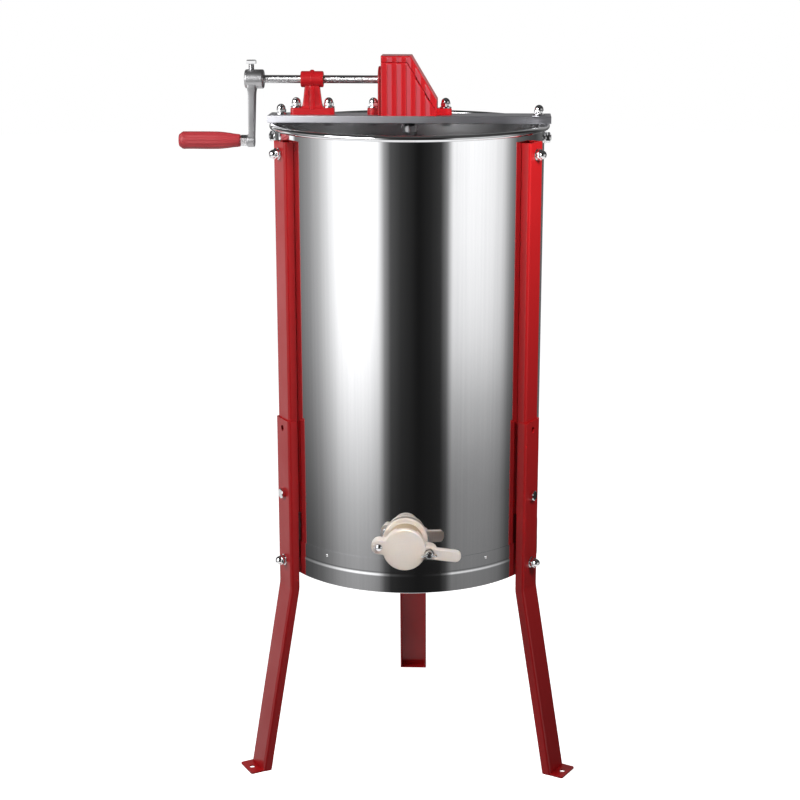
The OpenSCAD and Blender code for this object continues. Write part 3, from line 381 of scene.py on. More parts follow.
# Cast and moulded pieces share a skin: the grain of what they were formed in, with shallow pits.
casting_skin, given, result, place = effect(
    "casting_skin", {"Grain": 900.0, "Pits": 260.0}, ["Tone", "Height"])
grain = add(casting_skin, "TexNoise", None, {"Vector": place, "Scale": given["Grain"], "Detail": 6.0})
pits = add(casting_skin, "TexVoronoi", {"feature": "SMOOTH_F1"}, {"Vector": place, "Scale": given["Pits"]})
cloud = add(casting_skin, "TexNoise", None, {"Vector": place, "Scale": 34.0, "Detail": 4.0})
rough = add(casting_skin, "Math", {"operation": "MULTIPLY_ADD"},
            {0: pits.outputs[0], 1: 0.5, 2: grain.outputs[0]})
casting_skin.links.new(cloud.outputs[0], result["Tone"])
casting_skin.links.new(rough.outputs[0], result["Height"])


def clouded(made, skin, light, dark, smooth, dull, height, bump, lift):
    """Let a skin's cloud lead both the colour and the gloss of a material, with a height as its relief."""
    return lead(made, light, dark, skin["Tone"], (skin["Tone"], 0.3, 0.7, smooth, dull), height, bump, lift)


def cast_metal(name, light, dark, smooth, dull, bump):
    """Unpainted casting: clouded colour and gloss, and the grain of the mould as relief."""
    made, skin = material(name, {"Metallic": 1.0}, casting_skin)
    return clouded(made, skin, light, dark, smooth, dull, skin["Height"], bump, 0.3 * MM)


def dress(finish, *nodes):
    """A finish on solids whose shape is already right."""
    for node in nodes:
        for slot in frame["nodes"][node].material_slots:
            slot.material = finish


gear_iron = cast_metal("gear_iron", (0.27, 0.27, 0.28), (0.17, 0.17, 0.18), 0.32, 0.5, 0.25)
dress(gear_iron, "bottom_bearing")
dress(bright_steel, "bearing_ball")

# Legs: channels folded from 2 mm sheet and powder coated red. The lower channel slides over the upper one
# and is bolted through it; below the hoop it leans outwards, and a plate with a floor hole closes its end.
leg_turns = {"left": leg_turn + radians(210), "right": leg_turn - radians(30), "rear": leg_turn + radians(90)}
leg_t = 2 * MM
leg_gap = 0.2 * MM
fold_r = 4 * MM
low_w = 41.4 * MM
up_w = low_w - 2 * leg_t - 0.6 * MM
up_web = wall_r + 12.2 * MM
low_web = up_web + leg_t + leg_gap
bead_room = 1.6 * MM
up_depth = up_web - np.sqrt(wall_r ** 2 - (up_w / 2 - leg_t) ** 2) - leg_gap
low_depth = low_web - np.sqrt((hoop_out + bead_room) ** 2 - (low_w / 2 - leg_t) ** 2) - leg_gap
up_low, up_top = (corner[2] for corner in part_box("rear_upper_leg"))
low_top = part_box("rear_lower_leg")[1][2]
lean = radians(10.3)
bend_z = 269 * MM
bend_r = 40 * MM
bend_top = bend_z + bend_r * tan(lean / 2)
bend_low = bend_top - bend_r * lean
lean_l = (bend_top - bend_r * sin(lean)) / cos(lean)
bolt_hole = 4.2 * MM
hole_room = 9 * MM
top_bolt_z = up_top - 16 * MM
spare_z = low_top - 13 * MM
joint_z = low_top - 107 * MM
hoop_bolt_z = hoop_low + 16 * MM
foot_r = low_web + bend_z * tan(lean)
foot_l = 18 * MM
foot_w = 40 * MM
foot_hole = 4 * MM
foot_hole_in = foot_l / 2 + 0.5 * MM
foot_corner = 3 * MM


def channel_section(s, width, depth):
    """Section of a channel: a flat web, a quarter round at each fold, straight flanges.
    Returns how far each place lies behind the web's outside and beside its middle."""
    flat = width / 2 - fold_r
    turn = np.clip((np.abs(s) - flat) / fold_r, 0, pi / 2)
    straight = np.maximum(np.abs(s) - flat - pi / 2 * fold_r, 0)
    inside = fold_r - depth
    behind = fold_r - inside * np.cos(turn) + straight
    beside = np.minimum(np.abs(s), flat) + inside * np.sin(turn)
    return behind, np.sign(s) * beside


def leg_point(turn, radius, beside, height):
    """From radius, distance beside the leg's middle and height to the frame."""
    x = radius * cos(turn) - beside * sin(turn)
    y = radius * sin(turn) + beside * cos(turn)
    return np.stack([x, y, height], -1)


def upper_point(turn, s, t, depth):
    """The upper channel's section carried straight up: t is the height."""
    behind, beside = channel_section(s, up_w, depth)
    return leg_point(turn, up_web - behind, beside, t)


def lower_point(turn, s, t, depth):
    """The lower channel's section carried straight down, round the bend, then leaning to the floor, where it
    is cut level. t is the height on the straight and goes on below it along the line."""
    behind, beside = channel_section(s, low_w, depth)
    bent = np.clip((bend_top - t) / bend_r, 0, lean)
    run = np.maximum(bend_low - t, 0)
    radius = low_web + bend_r - (bend_r + behind) * np.cos(bent)
    height = np.maximum(t, bend_top) - (bend_r + behind) * np.sin(bent)
    end_radius = low_web + bend_r - (bend_r + behind) * cos(lean)
    end_height = bend_top - (bend_r + behind) * sin(lean)
    share = run / lean_l
    radius = np.where(run > 0, end_radius + share * end_height * tan(lean), radius)
    height = np.where(run > 0, end_height - share * end_height, height)
    return leg_point(turn, radius, beside, height)


def foot_point(turn, s, t, depth):
    """Foot plate: t runs in along the floor from its outer edge, which has rounded corners."""
    draw = np.sqrt(np.maximum(foot_corner ** 2 - np.maximum(foot_corner - t, 0) ** 2, 0))
    beside = s * (foot_w / 2 - foot_corner + draw) / (foot_w / 2)
    return leg_point(turn, foot_r + foot_l - t, beside, np.full_like(t, leg_t - depth))


def channel(width, depth, below, bolts, top, lift):
    """A channel of folded sheet: places across it close together at the folds, and rungs along it from
    those below its bolts to its top, close together at each bolt hole."""
    flat = width / 2 - fold_r
    folded = flat + pi / 2 * fold_r
    edge = folded + depth - fold_r
    half = np.concatenate([np.linspace(0, flat - 0.4 * MM, 9), np.linspace(flat, folded, 7),
                           [folded + 0.4 * MM, edge - 0.3 * MM, edge]])
    rungs = [np.linspace(z - hole_room, z + hole_room, 13) for z in bolts]
    return sheet(np.concatenate([-half[:0:-1], half]), np.concatenate([below, *rungs, [top]]), lift, leg_t,
                 [(0.0, z, bolt_hole) for z in bolts])


# Powder coat: a faint orange peel with a clouded tone, used on every painted piece.
paint_skin, given, result, place = effect("paint_skin", {"Peel": 420.0, "Cloud": 16.0}, ["Tone", "Height"])
peel = add(paint_skin, "TexNoise", None, {"Vector": place, "Scale": given["Peel"], "Detail": 2.0})
cloud = add(paint_skin, "TexNoise", None, {"Vector": place, "Scale": given["Cloud"], "Detail": 6.0})
paint_skin.links.new(cloud.outputs[0], result["Tone"])
paint_skin.links.new(peel.outputs[0], result["Height"])


def paint(name, light, dark, coat, bump, castings=0.0, rubbed=None):
    """Glossy coat over colour. On castings the mould's grain shows through the peel, and where two depths
    from front to back are given, what stands out between them is painted paler: a painted sheen for the light
    its raised faces reflect."""
    # Painted sheen: a paler pink mixed onto raised faces between the given depths, in place of the light they
    # reflect.
    sheen_colour = (0.47, 0.10, 0.125, 1)
    sheen_share = 0.55
    coating = {"Coat Weight": coat, "Coat Roughness": 0.07, "Specular IOR Level": 0.35}
    made, skin = material(name, coating, paint_skin)
    tree = made.node_tree
    sand = add(tree, "Group", {"node_tree": casting_skin}, {"Grain": 500.0, "Pits": 180.0})
    height = add(tree, "Math", {"operation": "MULTIPLY_ADD"},
                 {0: sand.outputs["Height"], 1: castings, 2: skin["Height"]})
    clouded(made, skin, light, dark, 0.34, 0.46, height.outputs[0], bump, 0.15 * MM)
    if rubbed:
        colour = tree.nodes["Principled BSDF"].inputs["Base Color"]
        at = add(tree, "SeparateXYZ", None, {0: add(tree, "TexCoord").outputs["Object"]})
        depth = add(tree, "Math", {"operation": "ABSOLUTE"}, {0: at.outputs["Y"]})
        sheen_mask = add(tree, "MapRange", None, {0: depth.outputs[0], 1: rubbed[0], 2: rubbed[1], 3: 0.0, 4: sheen_share})
        mixed = add(tree, "Mix", {"data_type": "RGBA"},
                    {0: sheen_mask.outputs[0], 6: colour.links[0].from_socket, 7: sheen_colour})
        tree.links.new(mixed.outputs[2], colour)
    return made


red_paint = paint("red_paint", (0.54, 0.010, 0.013), (0.46, 0.008, 0.010), 0.25, 0.06)
bend = np.linspace(bend_low, bend_top, 9)
low_rungs = np.concatenate([np.linspace(bend_low - lean_l, bend_low, 6)[:-1], bend])
plate_s = np.linspace(-foot_w / 2, foot_w / 2, 33)
plate_t = np.concatenate([np.linspace(0, foot_corner, 7), np.linspace(foot_corner, foot_l - 3.2 * MM, 14)[1:],
                          [foot_l, foot_l + low_depth / cos(lean)]])
for side, turn in leg_turns.items():
    upper = channel(up_w, up_depth, [up_low], (joint_z, spare_z, top_bolt_z), up_top,
                    partial(upper_point, turn))
    lower = channel(low_w, low_depth, low_rungs, (hoop_bolt_z, joint_z, spare_z), low_top,
                    partial(lower_point, turn))
    plate = sheet(plate_s, plate_t, partial(foot_point, turn), leg_t, [(0.0, foot_hole_in, foot_hole)])
    piece(side + "_leg_upper", "stand", "red_paint", red_paint, [upper], side + "_upper_leg")
    piece(side + "_leg_lower", "stand", "red_paint", red_paint, [lower, plate], side + "_lower_leg")

# Leg fasteners: bright hexagon bolts from inside the drum, with washers and domed cap nuts outside, and
# shorter bolts with plain nuts where one channel is bolted through the other.
bolt_r = 4 * MM
bolt_past = 6.5 * MM
head_h = 5.3 * MM
head_seat = 0.4 * MM
flats = 13 * MM
hex_corner = 0.585
hex_face = 0.46
hex_under = 0.48
hex_bevel = 0.9 * MM
bore_bevel = 0.6 * MM
nut_h = 6.5 * MM
washer_r = 8 * MM
washer_t = 1.6 * MM
cap_r = 6.0 * MM
cap_hex_h = 5.8 * MM
cap_base = 6.3 * MM
cap_face = 0.47 * flats
pitch = 1.25 * MM
thread_h = 0.55 * MM


def hexed(profile, across, ring=False):
    """Profile of (radius, height) carried round +Z, with each ring cut back to a hexagon of the given
    width across its flats: the radius is the lesser of the profile's and the hexagon's."""
    radius, height = np.asarray(profile, float).T
    angle = circle(48)
    side = across / 2 / np.cos((angle + pi / 6) % (pi / 3) - pi / 6)
    return weave(spun(np.minimum(radius[:, None], side), height, angle), ring, True)


def capped(grid):
    """A tube of closed rings with its first and last ring filled in."""
    points, blocks = weave(grid, False, True)
    end = np.arange(grid.shape[1])[None, :]
    return points, blocks + [end, end + len(points) - grid.shape[1]]


def threaded(radius, low, high):
    """Screw thread: the radius falls and rises once a pitch, and its place turns with the angle."""
    rows = np.linspace(low, high, max(int((high - low) / pitch * 8), 8))
    angle = circle(24)
    phase = (rows[:, None] / pitch - angle / (2 * pi)) % 1.0
    return capped(spun(radius - thread_h * (1 - np.abs(2 * phase - 1)), rows, angle))


def hex_bolt(length, across=flats, radius=bolt_r):
    """Bolt along +Z with the underside of its head at zero: chamfered hexagon, shank, chamfered end."""
    corner = across * hex_corner
    return hexed([[0, -head_h], [across * hex_face, -head_h], [corner, -head_h + hex_bevel],
                  [corner, -0.3 * MM], [across * hex_under, 0], [radius, 0], [radius, length - 0.8 * MM],
                  [radius - 0.7 * MM, length], [0, length]], across)


def plain_nut(across=flats, height=nut_h, bore=bolt_r):
    """Nut along +Z: a hexagon chamfered on both faces round a chamfered bore."""
    corner, face, mouth = across * hex_corner, across * hex_face, bore + bore_bevel
    return hexed([[bore, bore_bevel], [mouth, 0], [face, 0], [corner, hex_bevel],
                  [corner, height - hex_bevel], [face, height], [mouth, height],
                  [bore, height - bore_bevel]], across, ring=True)


def cap_nut():
    """Domed nut along +Z: a chamfered hexagon, a short neck and a round dome over the bolt's end."""
    corner = flats * hex_corner
    skirt = [[0, 0], [cap_face, 0], [corner, 0.8 * MM], [corner, cap_hex_h - 1.0 * MM], [cap_face, cap_hex_h],
             [cap_r, cap_hex_h + 0.1 * MM]]
    return hexed(np.concatenate([skirt, dome(cap_r, cap_base, cap_r, 9)]), flats)


def oblong(x0, y0, x1, y1, radius, steps=4):
    """Rectangle between two opposite corners, with all four rounded."""
    return rounded([[x0, y0], [x1, y0], [x1, y1], [x0, y1]], radius, steps, closed=True)


def hollow(bore, radius, low, high, edge, sides=48, steps=4):
    """Ring along +Z between a bore and a radius, with its four edges rounded."""
    return turned(oblong(bore, low, radius, high, edge, steps), sides, ring=True)


bright_chrome = metal("bright_chrome", (0.84, 0.84, 0.85), (0.78, 0.78, 0.79), 0.05, 0.10,
                      (60, 60, 60), 20.0, 0.01)
washer = hollow(bolt_r + 0.2 * MM, washer_r, 0, washer_t, 0.3 * MM, steps=2)
wall_bolts, leg_washers, leg_caps, joint_bolts, joint_nuts = [], [], [], [], []
for turn in leg_turns.values():
    out = np.array([cos(turn), sin(turn), 0])
    for seat, web, height in ((wall_in, up_web, top_bolt_z), (hoop_in, low_web, hoop_bolt_z)):
        start = seat - head_seat
        wall_bolts.append(stood(hex_bolt(web + washer_t + bolt_past - start), out * start + UP * height, out))
        leg_washers.append(stood(washer, out * web + UP * height, out))
        leg_caps.append(stood(cap_nut(), out * (web + washer_t) + UP * height, out))
    nut_in = up_web - leg_t - nut_h
    joint_bolts.append(stood(hex_bolt(low_web - nut_in + 1 * MM), out * low_web + UP * joint_z, -out))
    joint_nuts.append(stood(plain_nut(), out * nut_in + UP * joint_z, out))
hardware("drum_bolts", bright_steel, wall_bolts, "leg_wall_bolts")
hardware("drum_washers", bright_chrome, leg_washers, "leg_washers")
hardware("drum_cap_nuts", bright_chrome, leg_caps, "leg_cap_nuts")
hardware("leg_bolts", bright_steel, joint_bolts, "leg_joint_bolts")
hardware("leg_nuts", bright_steel, joint_nuts, "leg_joint_nuts")

# Honey gate: moulded in cream plastic, with a tube that a gasket and a lock nut clamp in the wall. The tube
# is coloured a darker tan as painted shade, for the shade behind the seat. The blade swings on a pivot bolt
# at its left ear, and its notch drops over the wing bolt on the right.
gate_tilt = radians(-6.5)
gate_side = np.cross(UP, gate_out)
gate_x = gate_side * cos(gate_tilt) + UP * sin(gate_tilt)
gate_y = UP * cos(gate_tilt) - gate_side * sin(gate_tilt)
gate_at = UP * gate_z
pivot = np.array([-34.0, -4.6]) * MM
latch = np.array([33.3, -4.6]) * MM
face = np.array([0.0, -4.4]) * MM
handle = np.array([68.0, -5.4]) * MM
blade_r = 28.8 * MM
ear_r = 10.4 * MM
latch_r = 10.8 * MM
notch_r = 4.3 * MM
handle_r = 8 * MM
seat_r = blade_r - 1 * MM
blade_back = wall_r + 29 * MM
gate_front = blade_back + 8 * MM
seat_front = blade_back - 0.2 * MM
seat_back = seat_front - 8 * MM
tube_front = seat_front - 0.1 * MM
tube_end = wall_in - 9 * MM
flange_back = wall_r + 2.65 * MM
flange_t = 7 * MM
flange_mid = flange_back + flange_t / 2
flange_r = 30 * MM
bore_r = 20 * MM
neck_r = 24 * MM


def on_gate(shells, spot=(0.0, 0.0)):
    """Shells made along +Z, laid along the tilted gate's axes with their origin at a spot on its face."""
    at = gate_at + gate_x * spot[0] + gate_y * spot[1]
    return [moved(shell, [gate_x, gate_y, gate_out], at) for shell in shells]


def arc(centre, radius, first, last, count=24):
    """Points round a centre from one angle to another, in degrees."""
    turn = np.radians(np.linspace(first, last, count))
    return np.stack([centre[0] + radius * np.cos(turn), centre[1] + radius * np.sin(turn)], -1)


def meets(height, centre, radius):
    """Angle in degrees at which a circle reaches a height."""
    return np.degrees(np.arcsin((height - centre[1]) / radius))


def soften(outline, spread, count=360):
    """Outline laid out in even steps and blurred along its own length: each wave of its Fourier series
    fades by the Gaussian of its length against the spread, which rounds corners and hardly moves the rest."""
    closed = np.concatenate([outline, outline[:1]])
    length = np.concatenate([[0], np.cumsum(np.linalg.norm(np.diff(closed, axis=0), axis=1))])
    even = np.linspace(0, length[-1], count, endpoint=False)
    path = np.interp(even, length, closed[:, 0]) + 1j * np.interp(even, length, closed[:, 1])
    wave = np.fft.fftfreq(count, length[-1] / count) * 2 * pi
    path = np.fft.ifft(np.fft.fft(path) * np.exp(-0.5 * (wave * spread) ** 2))
    return np.stack([path.real, path.imag], -1)


def slab(outline, low, high, low_r, high_r, steps=4):
    """Outline carried up from one height to another and closed by flat ends. It draws in square to itself
    along a quarter round at its lower and at its upper edge."""
    turn = np.linspace(0, pi / 2, steps + 1)
    heights = np.concatenate([low + low_r * (1 - np.cos(turn)), (high - high_r * (1 - np.cos(turn)))[::-1]])
    insets = np.concatenate([low_r * (1 - np.sin(turn)), (high_r * (1 - np.sin(turn)))[::-1]])
    along = np.roll(outline, -1, 0) - np.roll(outline, 1, 0)
    out = np.stack([along[:, 1], -along[:, 0]], -1) / np.linalg.norm(along, axis=1)[:, None]
    flat = outline[None] - out[None] * insets[:, None, None]
    return capped(np.concatenate([flat, np.broadcast_to(heights[:, None, None], (*flat.shape[:2], 1))], -1))


def plastic(name, light, dark, rough, bump, grain=700.0, soft=0.0):
    """Moulded plastic: a slight cloud in its colour and the fine texture of the mould."""
    depths = {"Subsurface Weight": soft, "Subsurface Scale": 5 * MM, "Subsurface Radius": (1.0, 0.7, 0.45)}
    made, skin = material(name, depths, casting_skin, {"Grain": grain, "Pits": grain * 0.4})
    return clouded(made, skin, light, dark, rough, rough + 0.12, skin["Height"], bump, 0.1 * MM)


cream_plastic = plastic("cream_plastic", (0.80, 0.72, 0.65), (0.75, 0.67, 0.60), 0.32, 0.04, soft=0.3)
# Painted shade: the gate tube's plastic is the cream darkened to tan, standing in for the shade it lies in.
painted_shade_cream = plastic("painted_shade_cream", (0.50, 0.38, 0.25), (0.44, 0.33, 0.21), 0.36, 0.04, soft=0.2)
black_rubber = plastic("black_rubber", (0.030, 0.029, 0.028), (0.018, 0.018, 0.018), 0.55, 0.15, 1200.0)
ear_top, ear_low = pivot[1] + ear_r, pivot[1] - ear_r
hump_top, hump_low = (meets(handle[1] + edge, latch, latch_r) for edge in (handle_r, -handle_r))
notch_side = np.degrees(np.arccos(notch_r / latch_r))
blade_line = soften(np.concatenate([
    arc(handle, handle_r, -90, 90),
    arc(latch, latch_r, hump_top, 113),
    arc(face, blade_r, 16, 180 - meets(ear_top, face, blade_r), 60),
    arc(pivot, ear_r, 90, 270),
    arc(face, blade_r, 180 - meets(ear_low, face, blade_r), 340, 60),
    arc(latch, latch_r, 231, 180 + notch_side, 6),
    arc(latch, notch_r, 180, 0),
    arc(latch, latch_r, 360 - notch_side, 360 + hump_low, 6)]), 0.9 * MM, 480)
blade = slab(blade_line, blade_back, gate_front, 0.8 * MM, 2.4 * MM, 6)
piece("swing_blade", "blade", "cream_plastic", cream_plastic, on_gate([blade]), "gate_blade")

seat_top, seat_low = meets(ear_top, face, seat_r), meets(ear_low, face, seat_r)
seat_line = soften(np.concatenate([
    arc(latch, ear_r, -90, 90),
    arc(face, seat_r, seat_top, 180 - seat_top, 60),
    arc(pivot, ear_r, 90, 270),
    arc(face, seat_r, 180 - seat_low, 360 + seat_low, 60)]), 1.6 * MM)
seat = slab(seat_line, seat_back, seat_front, 1.2 * MM, 0.6 * MM)
flange = hollow(gate_tube_r - 1 * MM, flange_r, flange_back, flange_back + flange_t, 1.0 * MM, 96)
tube_line = rounded([[bore_r, tube_end], [gate_tube_r, tube_end], [gate_tube_r, flange_mid],
                     [neck_r, flange_mid], [neck_r, tube_front], [bore_r, tube_front]], 1.0 * MM, closed=True)
tube = turned(tube_line, 96, ring=True)
piece("gate_seat", "stand", "cream_plastic", cream_plastic, on_gate([seat, flange]), "gate_body")
# The tube takes the painted shade material, not its own plastic colour.
piece("gate_tube", "stand", "cream_plastic", painted_shade_cream, on_gate([tube]), "gate_body")
dress(black_rubber, "gate_gasket")
dress(cream_plastic, "gate_lock_nut")

# Gate fasteners: a pan-headed pivot bolt with a nut behind it, and a wing bolt on which the butterfly nut
# clamps the blade's notch. All are plated steel, and the nut's two wings are forged with its hub.
pan_head_r = 5.0 * MM
pan_head_h = 3.4 * MM
small_bolt_r = 3 * MM
small_flats = 10 * MM
small_nut_h = 4 * MM
wing_end = gate_front + 11.5 * MM
wing_low = gate_front + 0.3 * MM
wing_hub_r = 5.5 * MM
wing_hub_h = 8 * MM
wing_t = 2.6 * MM
wing_edge = 0.9 * MM
wing_turn = radians(8)


def shank(radius, low, high, sides):
    """Plain round bar along +Z with flat ends."""
    return turned([[0, low], [radius, low], [radius, high], [0, high]], sides)


def carried(shell, at):
    """A shell carried to a point without a turn."""
    return moved(shell, np.eye(3), at)


pan_line = np.concatenate([[[0, gate_front]], dome(pan_head_r, gate_front + 0.2 * MM, pan_head_h, 8)])
small_nut = plain_nut(small_flats, small_nut_h, small_bolt_r)
pivot_bolt = [turned(pan_line, 32), shank(small_bolt_r, seat_back - 4.6 * MM, gate_front + 0.6 * MM, 32),
              carried(small_nut, UP * (seat_back - small_nut_h - 0.05 * MM))]
wing_bolt = [carried(hex_bolt(0.5 * MM, small_flats, small_bolt_r), UP * seat_back),
             shank(small_bolt_r - 0.3 * MM, seat_back - 1 * MM, gate_front - 1 * MM, 32),
             threaded(small_bolt_r, gate_front - 2 * MM, wing_end)]
hardware("pivot_bolt", bright_steel, on_gate(pivot_bolt, pivot), "gate_pivot_bolt")
hardware("wing_bolt", bright_steel, on_gate(wing_bolt, latch), "gate_wing_bolt")

wing_line = np.array([[1.5, 1], [5.5, 1], [10.75, 7], [10.75, 13], [7.75, 14], [4.5, 8], [1.5, 8]]) * MM
one_wing = slab(soften(wing_line, wing_edge, 96), -wing_t / 2, wing_t / 2, wing_edge, wing_edge)
wing_hub = rounded([[small_bolt_r, 0], [wing_hub_r, 0], [wing_hub_r - 0.8 * MM, wing_hub_h],
                    [small_bolt_r, wing_hub_h]], 0.5 * MM, closed=True)
wings = [carried(turned(wing_hub, 48, ring=True), UP * wing_low)]
for turn in (wing_turn, wing_turn + pi):
    along = np.array([cos(turn), sin(turn), 0])
    wings.append(moved(one_wing, [along, UP, np.cross(along, UP)], UP * wing_low))
piece("butterfly_nut", "wing", "bright_steel", bright_steel, on_gate(wings, latch), "wing_nut")

# Basket: welded from round and flat stainless steel, with four nets between which two comb frames stand.
# It is fixed to the spindle, which turns on the ball below and in a black plastic bush under the crossbar.
post_low, post_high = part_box("basket_posts")
post_r = 3 * MM
wire_r = 1 * MM
weld = 0.7 * MM
net_columns, net_rows = 9, 18
net_names = ("front_inner_net", "front_outer_net", "rear_inner_net", "rear_outer_net")
spindle_low, spindle_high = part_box("spindle")
spindle_r = spindle_high[0]
collar_low, collar_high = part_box("spindle_collar")


def rod(radius, low, high, edge, sides, steps=2):
    """Round bar along +Z with its two ends rounded."""
    return turned(rounded([[0, low], [radius, low], [radius, high], [0, high]], edge, steps), sides)


def wires(starts, ends, sides=10):
    """Round wires between pairs of points: a circle square to each wire at both of its ends."""
    along = (ends - starts) / np.linalg.norm(ends - starts, axis=1)[:, None]
    across = np.cross(along, [0.0, 1.0, 0.0])
    lift = np.cross(across, along)
    angle = circle(sides)[None, :, None]
    rim = wire_r * (np.cos(angle) * across[:, None] + np.sin(angle) * lift[:, None])
    first = np.arange(len(starts))[:, None] * 2 * sides + np.arange(sides)
    after = np.roll(first, -1, 1)
    quads = np.stack([first, after, after + sides, first + sides], -1).reshape(-1, 4)
    points = np.concatenate([starts[:, None] + rim, ends[:, None] + rim], 1).reshape(-1, 3)
    return points, [quads, first, first + sides]


def row(x, y, z):
    """Points from three coordinates, of which some are shared by all of them."""
    return np.stack(np.broadcast_arrays(x, y, z), -1)


basket_steel = metal("basket_steel", (0.72, 0.72, 0.73), (0.58, 0.58, 0.60), 0.16, 0.30,
                     (400, 400, 400), 60.0)
turned_steel = metal("turned_steel", (0.84, 0.84, 0.85), (0.70, 0.70, 0.71), 0.26, 0.36,
                     (5, 5, 1500), 60.0, 0.2)
black_plastic = plastic("black_plastic", (0.028, 0.028, 0.030), (0.016, 0.016, 0.017), 0.4, 0.06, 900.0)
dress(basket_steel, "basket_top", "basket_bottom")
post = rod(post_r, post_low[2], post_high[2], 0.4 * MM, 24)
posts = [carried(post, [x, middle(net, 1), 0])
         for x in (post_low[0] + post_r, post_high[0] - post_r) for net in net_names]
piece("basket_rods", "basket", "basket_steel", basket_steel, posts, "basket_posts")
for net in net_names:
    (x0, _, z0), (x1, _, z1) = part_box(net)
    near, far = middle(net, 1) - weld, middle(net, 1) + weld
    uprights = x0 + (x1 - x0) * np.arange(1, net_columns + 1) / (net_columns + 1)
    levels = z0 + (z1 - z0) * np.arange(1, net_rows + 1) / (net_rows + 1)
    mesh = wires(np.concatenate([row(uprights, near, z0), row(x0, far, levels)]),
                 np.concatenate([row(uprights, near, z1), row(x1, far, levels)]))
    piece(net.replace("net", "wires"), "basket", "basket_steel", basket_steel, [mesh], net)

spindle = rod(spindle_r, spindle_low[2], spindle_high[2], 0.6 * MM, 48)
piece("spindle_rod", "basket", "bright_steel", bright_steel, [spindle], "spindle")
collar = hollow(spindle_r, collar_high[0], collar_low[2], collar_high[2], 0.6 * MM, 64, 3)
piece("stop_collar", "basket", "bright_steel", turned_steel, [collar], "spindle_collar")
dress(black_plastic, "top_bush")
dress(gear_iron, "pinion", "collar_screw")

# Crossbar: a flat bar of drawn aluminium across the rim. At each end an eyebolt hangs from it and a tie bolt
# through the drum wall pulls on the eye. Bolts from below hold the housing and the pedestal on it.
(bar_x0, bar_y0, bar_z0), (bar_x1, bar_y1, deck_z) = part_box("crossbar")
X_AXES = [[0, 1, 0], [0, 0, 1], [1, 0, 0]]
tie_z = middle("tie_bolts", 2)
tie_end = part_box("tie_bolts")[1][0]
tie_x = wall_in - 7.2 * MM
eye_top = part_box("tie_eyebolts")[1][2]
eye_r = 10 * MM
eye_end = wall_in - 0.6 * MM
eye_l = 2 * (eye_end - tie_x)
eye_start = eye_end - eye_l
tie_head = eye_start - 0.05 * MM
lug_x = 49.5 * MM
lug_h = 9 * MM
pedestal_x = middle("pedestal", 0)
pedestal_bolt = 22.4 * MM
bar = slab(oblong(bar_y0, bar_z0, bar_y1, deck_z, 0.7 * MM), bar_x0, bar_x1, 0.5 * MM, 0.5 * MM, 2)
bar_aluminium = metal("bar_aluminium", (0.63, 0.63, 0.67), (0.54, 0.54, 0.58), 0.44, 0.54,
                      (6, 700, 700), 30.0, 0.1)
piece("flat_bar", "stand", "bar_aluminium", bar_aluminium, [moved(bar, X_AXES, [0, 0, 0])], "crossbar")

eye = hollow(bolt_r + 0.2 * MM, eye_r, 0, eye_l, 2.5 * MM, steps=5)
eye_shank = shank(bolt_r - 0.3 * MM, tie_z + eye_r - 2 * MM, deck_z, 24)
eye_thread = threaded(bolt_r, deck_z - 12 * MM, eye_top)
eyebolts, tie_bolts, tie_washers, tie_nuts = [], [], [], []
for out in np.array([[-1, 0, 0], [1, 0, 0]]):
    eyebolts.append(stood(eye, out * eye_start + UP * tie_z, out))
    eyebolts += [carried(shell, out * tie_x) for shell in (eye_shank, eye_thread)]
    tie_bolts.append(stood(hex_bolt(wall_in - tie_head), out * tie_head + UP * tie_z, out))
    tie_bolts.append(stood(threaded(bolt_r, wall_in - 4 * MM, tie_end), UP * tie_z, out))
    tie_washers.append(stood(washer, out * wall_r + UP * tie_z, out))
    tie_nuts.append(stood(plain_nut(), out * (wall_r + washer_t) + UP * tie_z, out))
hardware("eyebolts", bright_steel, eyebolts, "tie_eyebolts")
hardware("wall_ties", bright_steel, tie_bolts, "tie_bolts")
hardware("wall_tie_washers", bright_steel, tie_washers, "tie_washers")
hardware("wall_tie_nuts", bright_steel, tie_nuts, "tie_nuts")

bolted = [pedestal_x - pedestal_bolt, pedestal_x + pedestal_bolt, -lug_x, lug_x]
seats = [(x, deck_z + lug_h) for x in bolted] + [(-tie_x, deck_z), (tie_x, deck_z)]
deck_bolt = hex_bolt(deck_z - bar_z0 + lug_h + washer_t + bolt_past)
deck_bolts = [carried(deck_bolt, [x, 0, bar_z0]) for x in bolted]
bar_washers = [carried(washer, [x, 0, z]) for x, z in seats]
bar_caps = [carried(cap_nut(), [x, 0, z + washer_t]) for x, z in seats]
hardware("bar_bolts", bright_steel, deck_bolts, "deck_bolts")
hardware("bar_ring_washers", bright_chrome, bar_washers, "bar_washers")
hardware("bar_caps", bright_chrome, bar_caps, "bar_cap_nuts")

# Gear housing: a red enamelled iron casting with fluted front and back, bolted down by two lugs. A separate
# cast cover closes its flat top and its slope, held at the back by two tabs with screws.
(box_x0, _, _), (box_x1, _, cover_top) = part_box("gear_cover")
shaft_z = joints["crank_spin"]["pos_m"][2]
shaft_h = shaft_z - deck_z
box_half = (box_x1 - box_x0) / 2
box_y = 23 * MM
box_h = cover_top - deck_z
cover_h = 8 * MM
cover_lip = 0.6 * MM
seam = 0.2 * MM
slope_x = 2.5 * MM
slope_z = 21 * MM
slope = atan2(box_h - slope_z, box_half - slope_x)
flute_pitch = 13 * MM
flute_w = 6 * MM
flute_out = 1.4 * MM
flute_edge = 0.8 * MM
flute_span = 2.5 * flute_pitch
cast_r = 1.8 * MM
boss_r = 18 * MM
boss_out = 4.5 * MM
lug_r = 8.5 * MM
lug_in = box_half - lug_x - 4 * MM
tab_w, tab_h, tab_t = 8 * MM, 10 * MM, 1.6 * MM
tab_low = deck_z + box_h - cover_h - tab_h
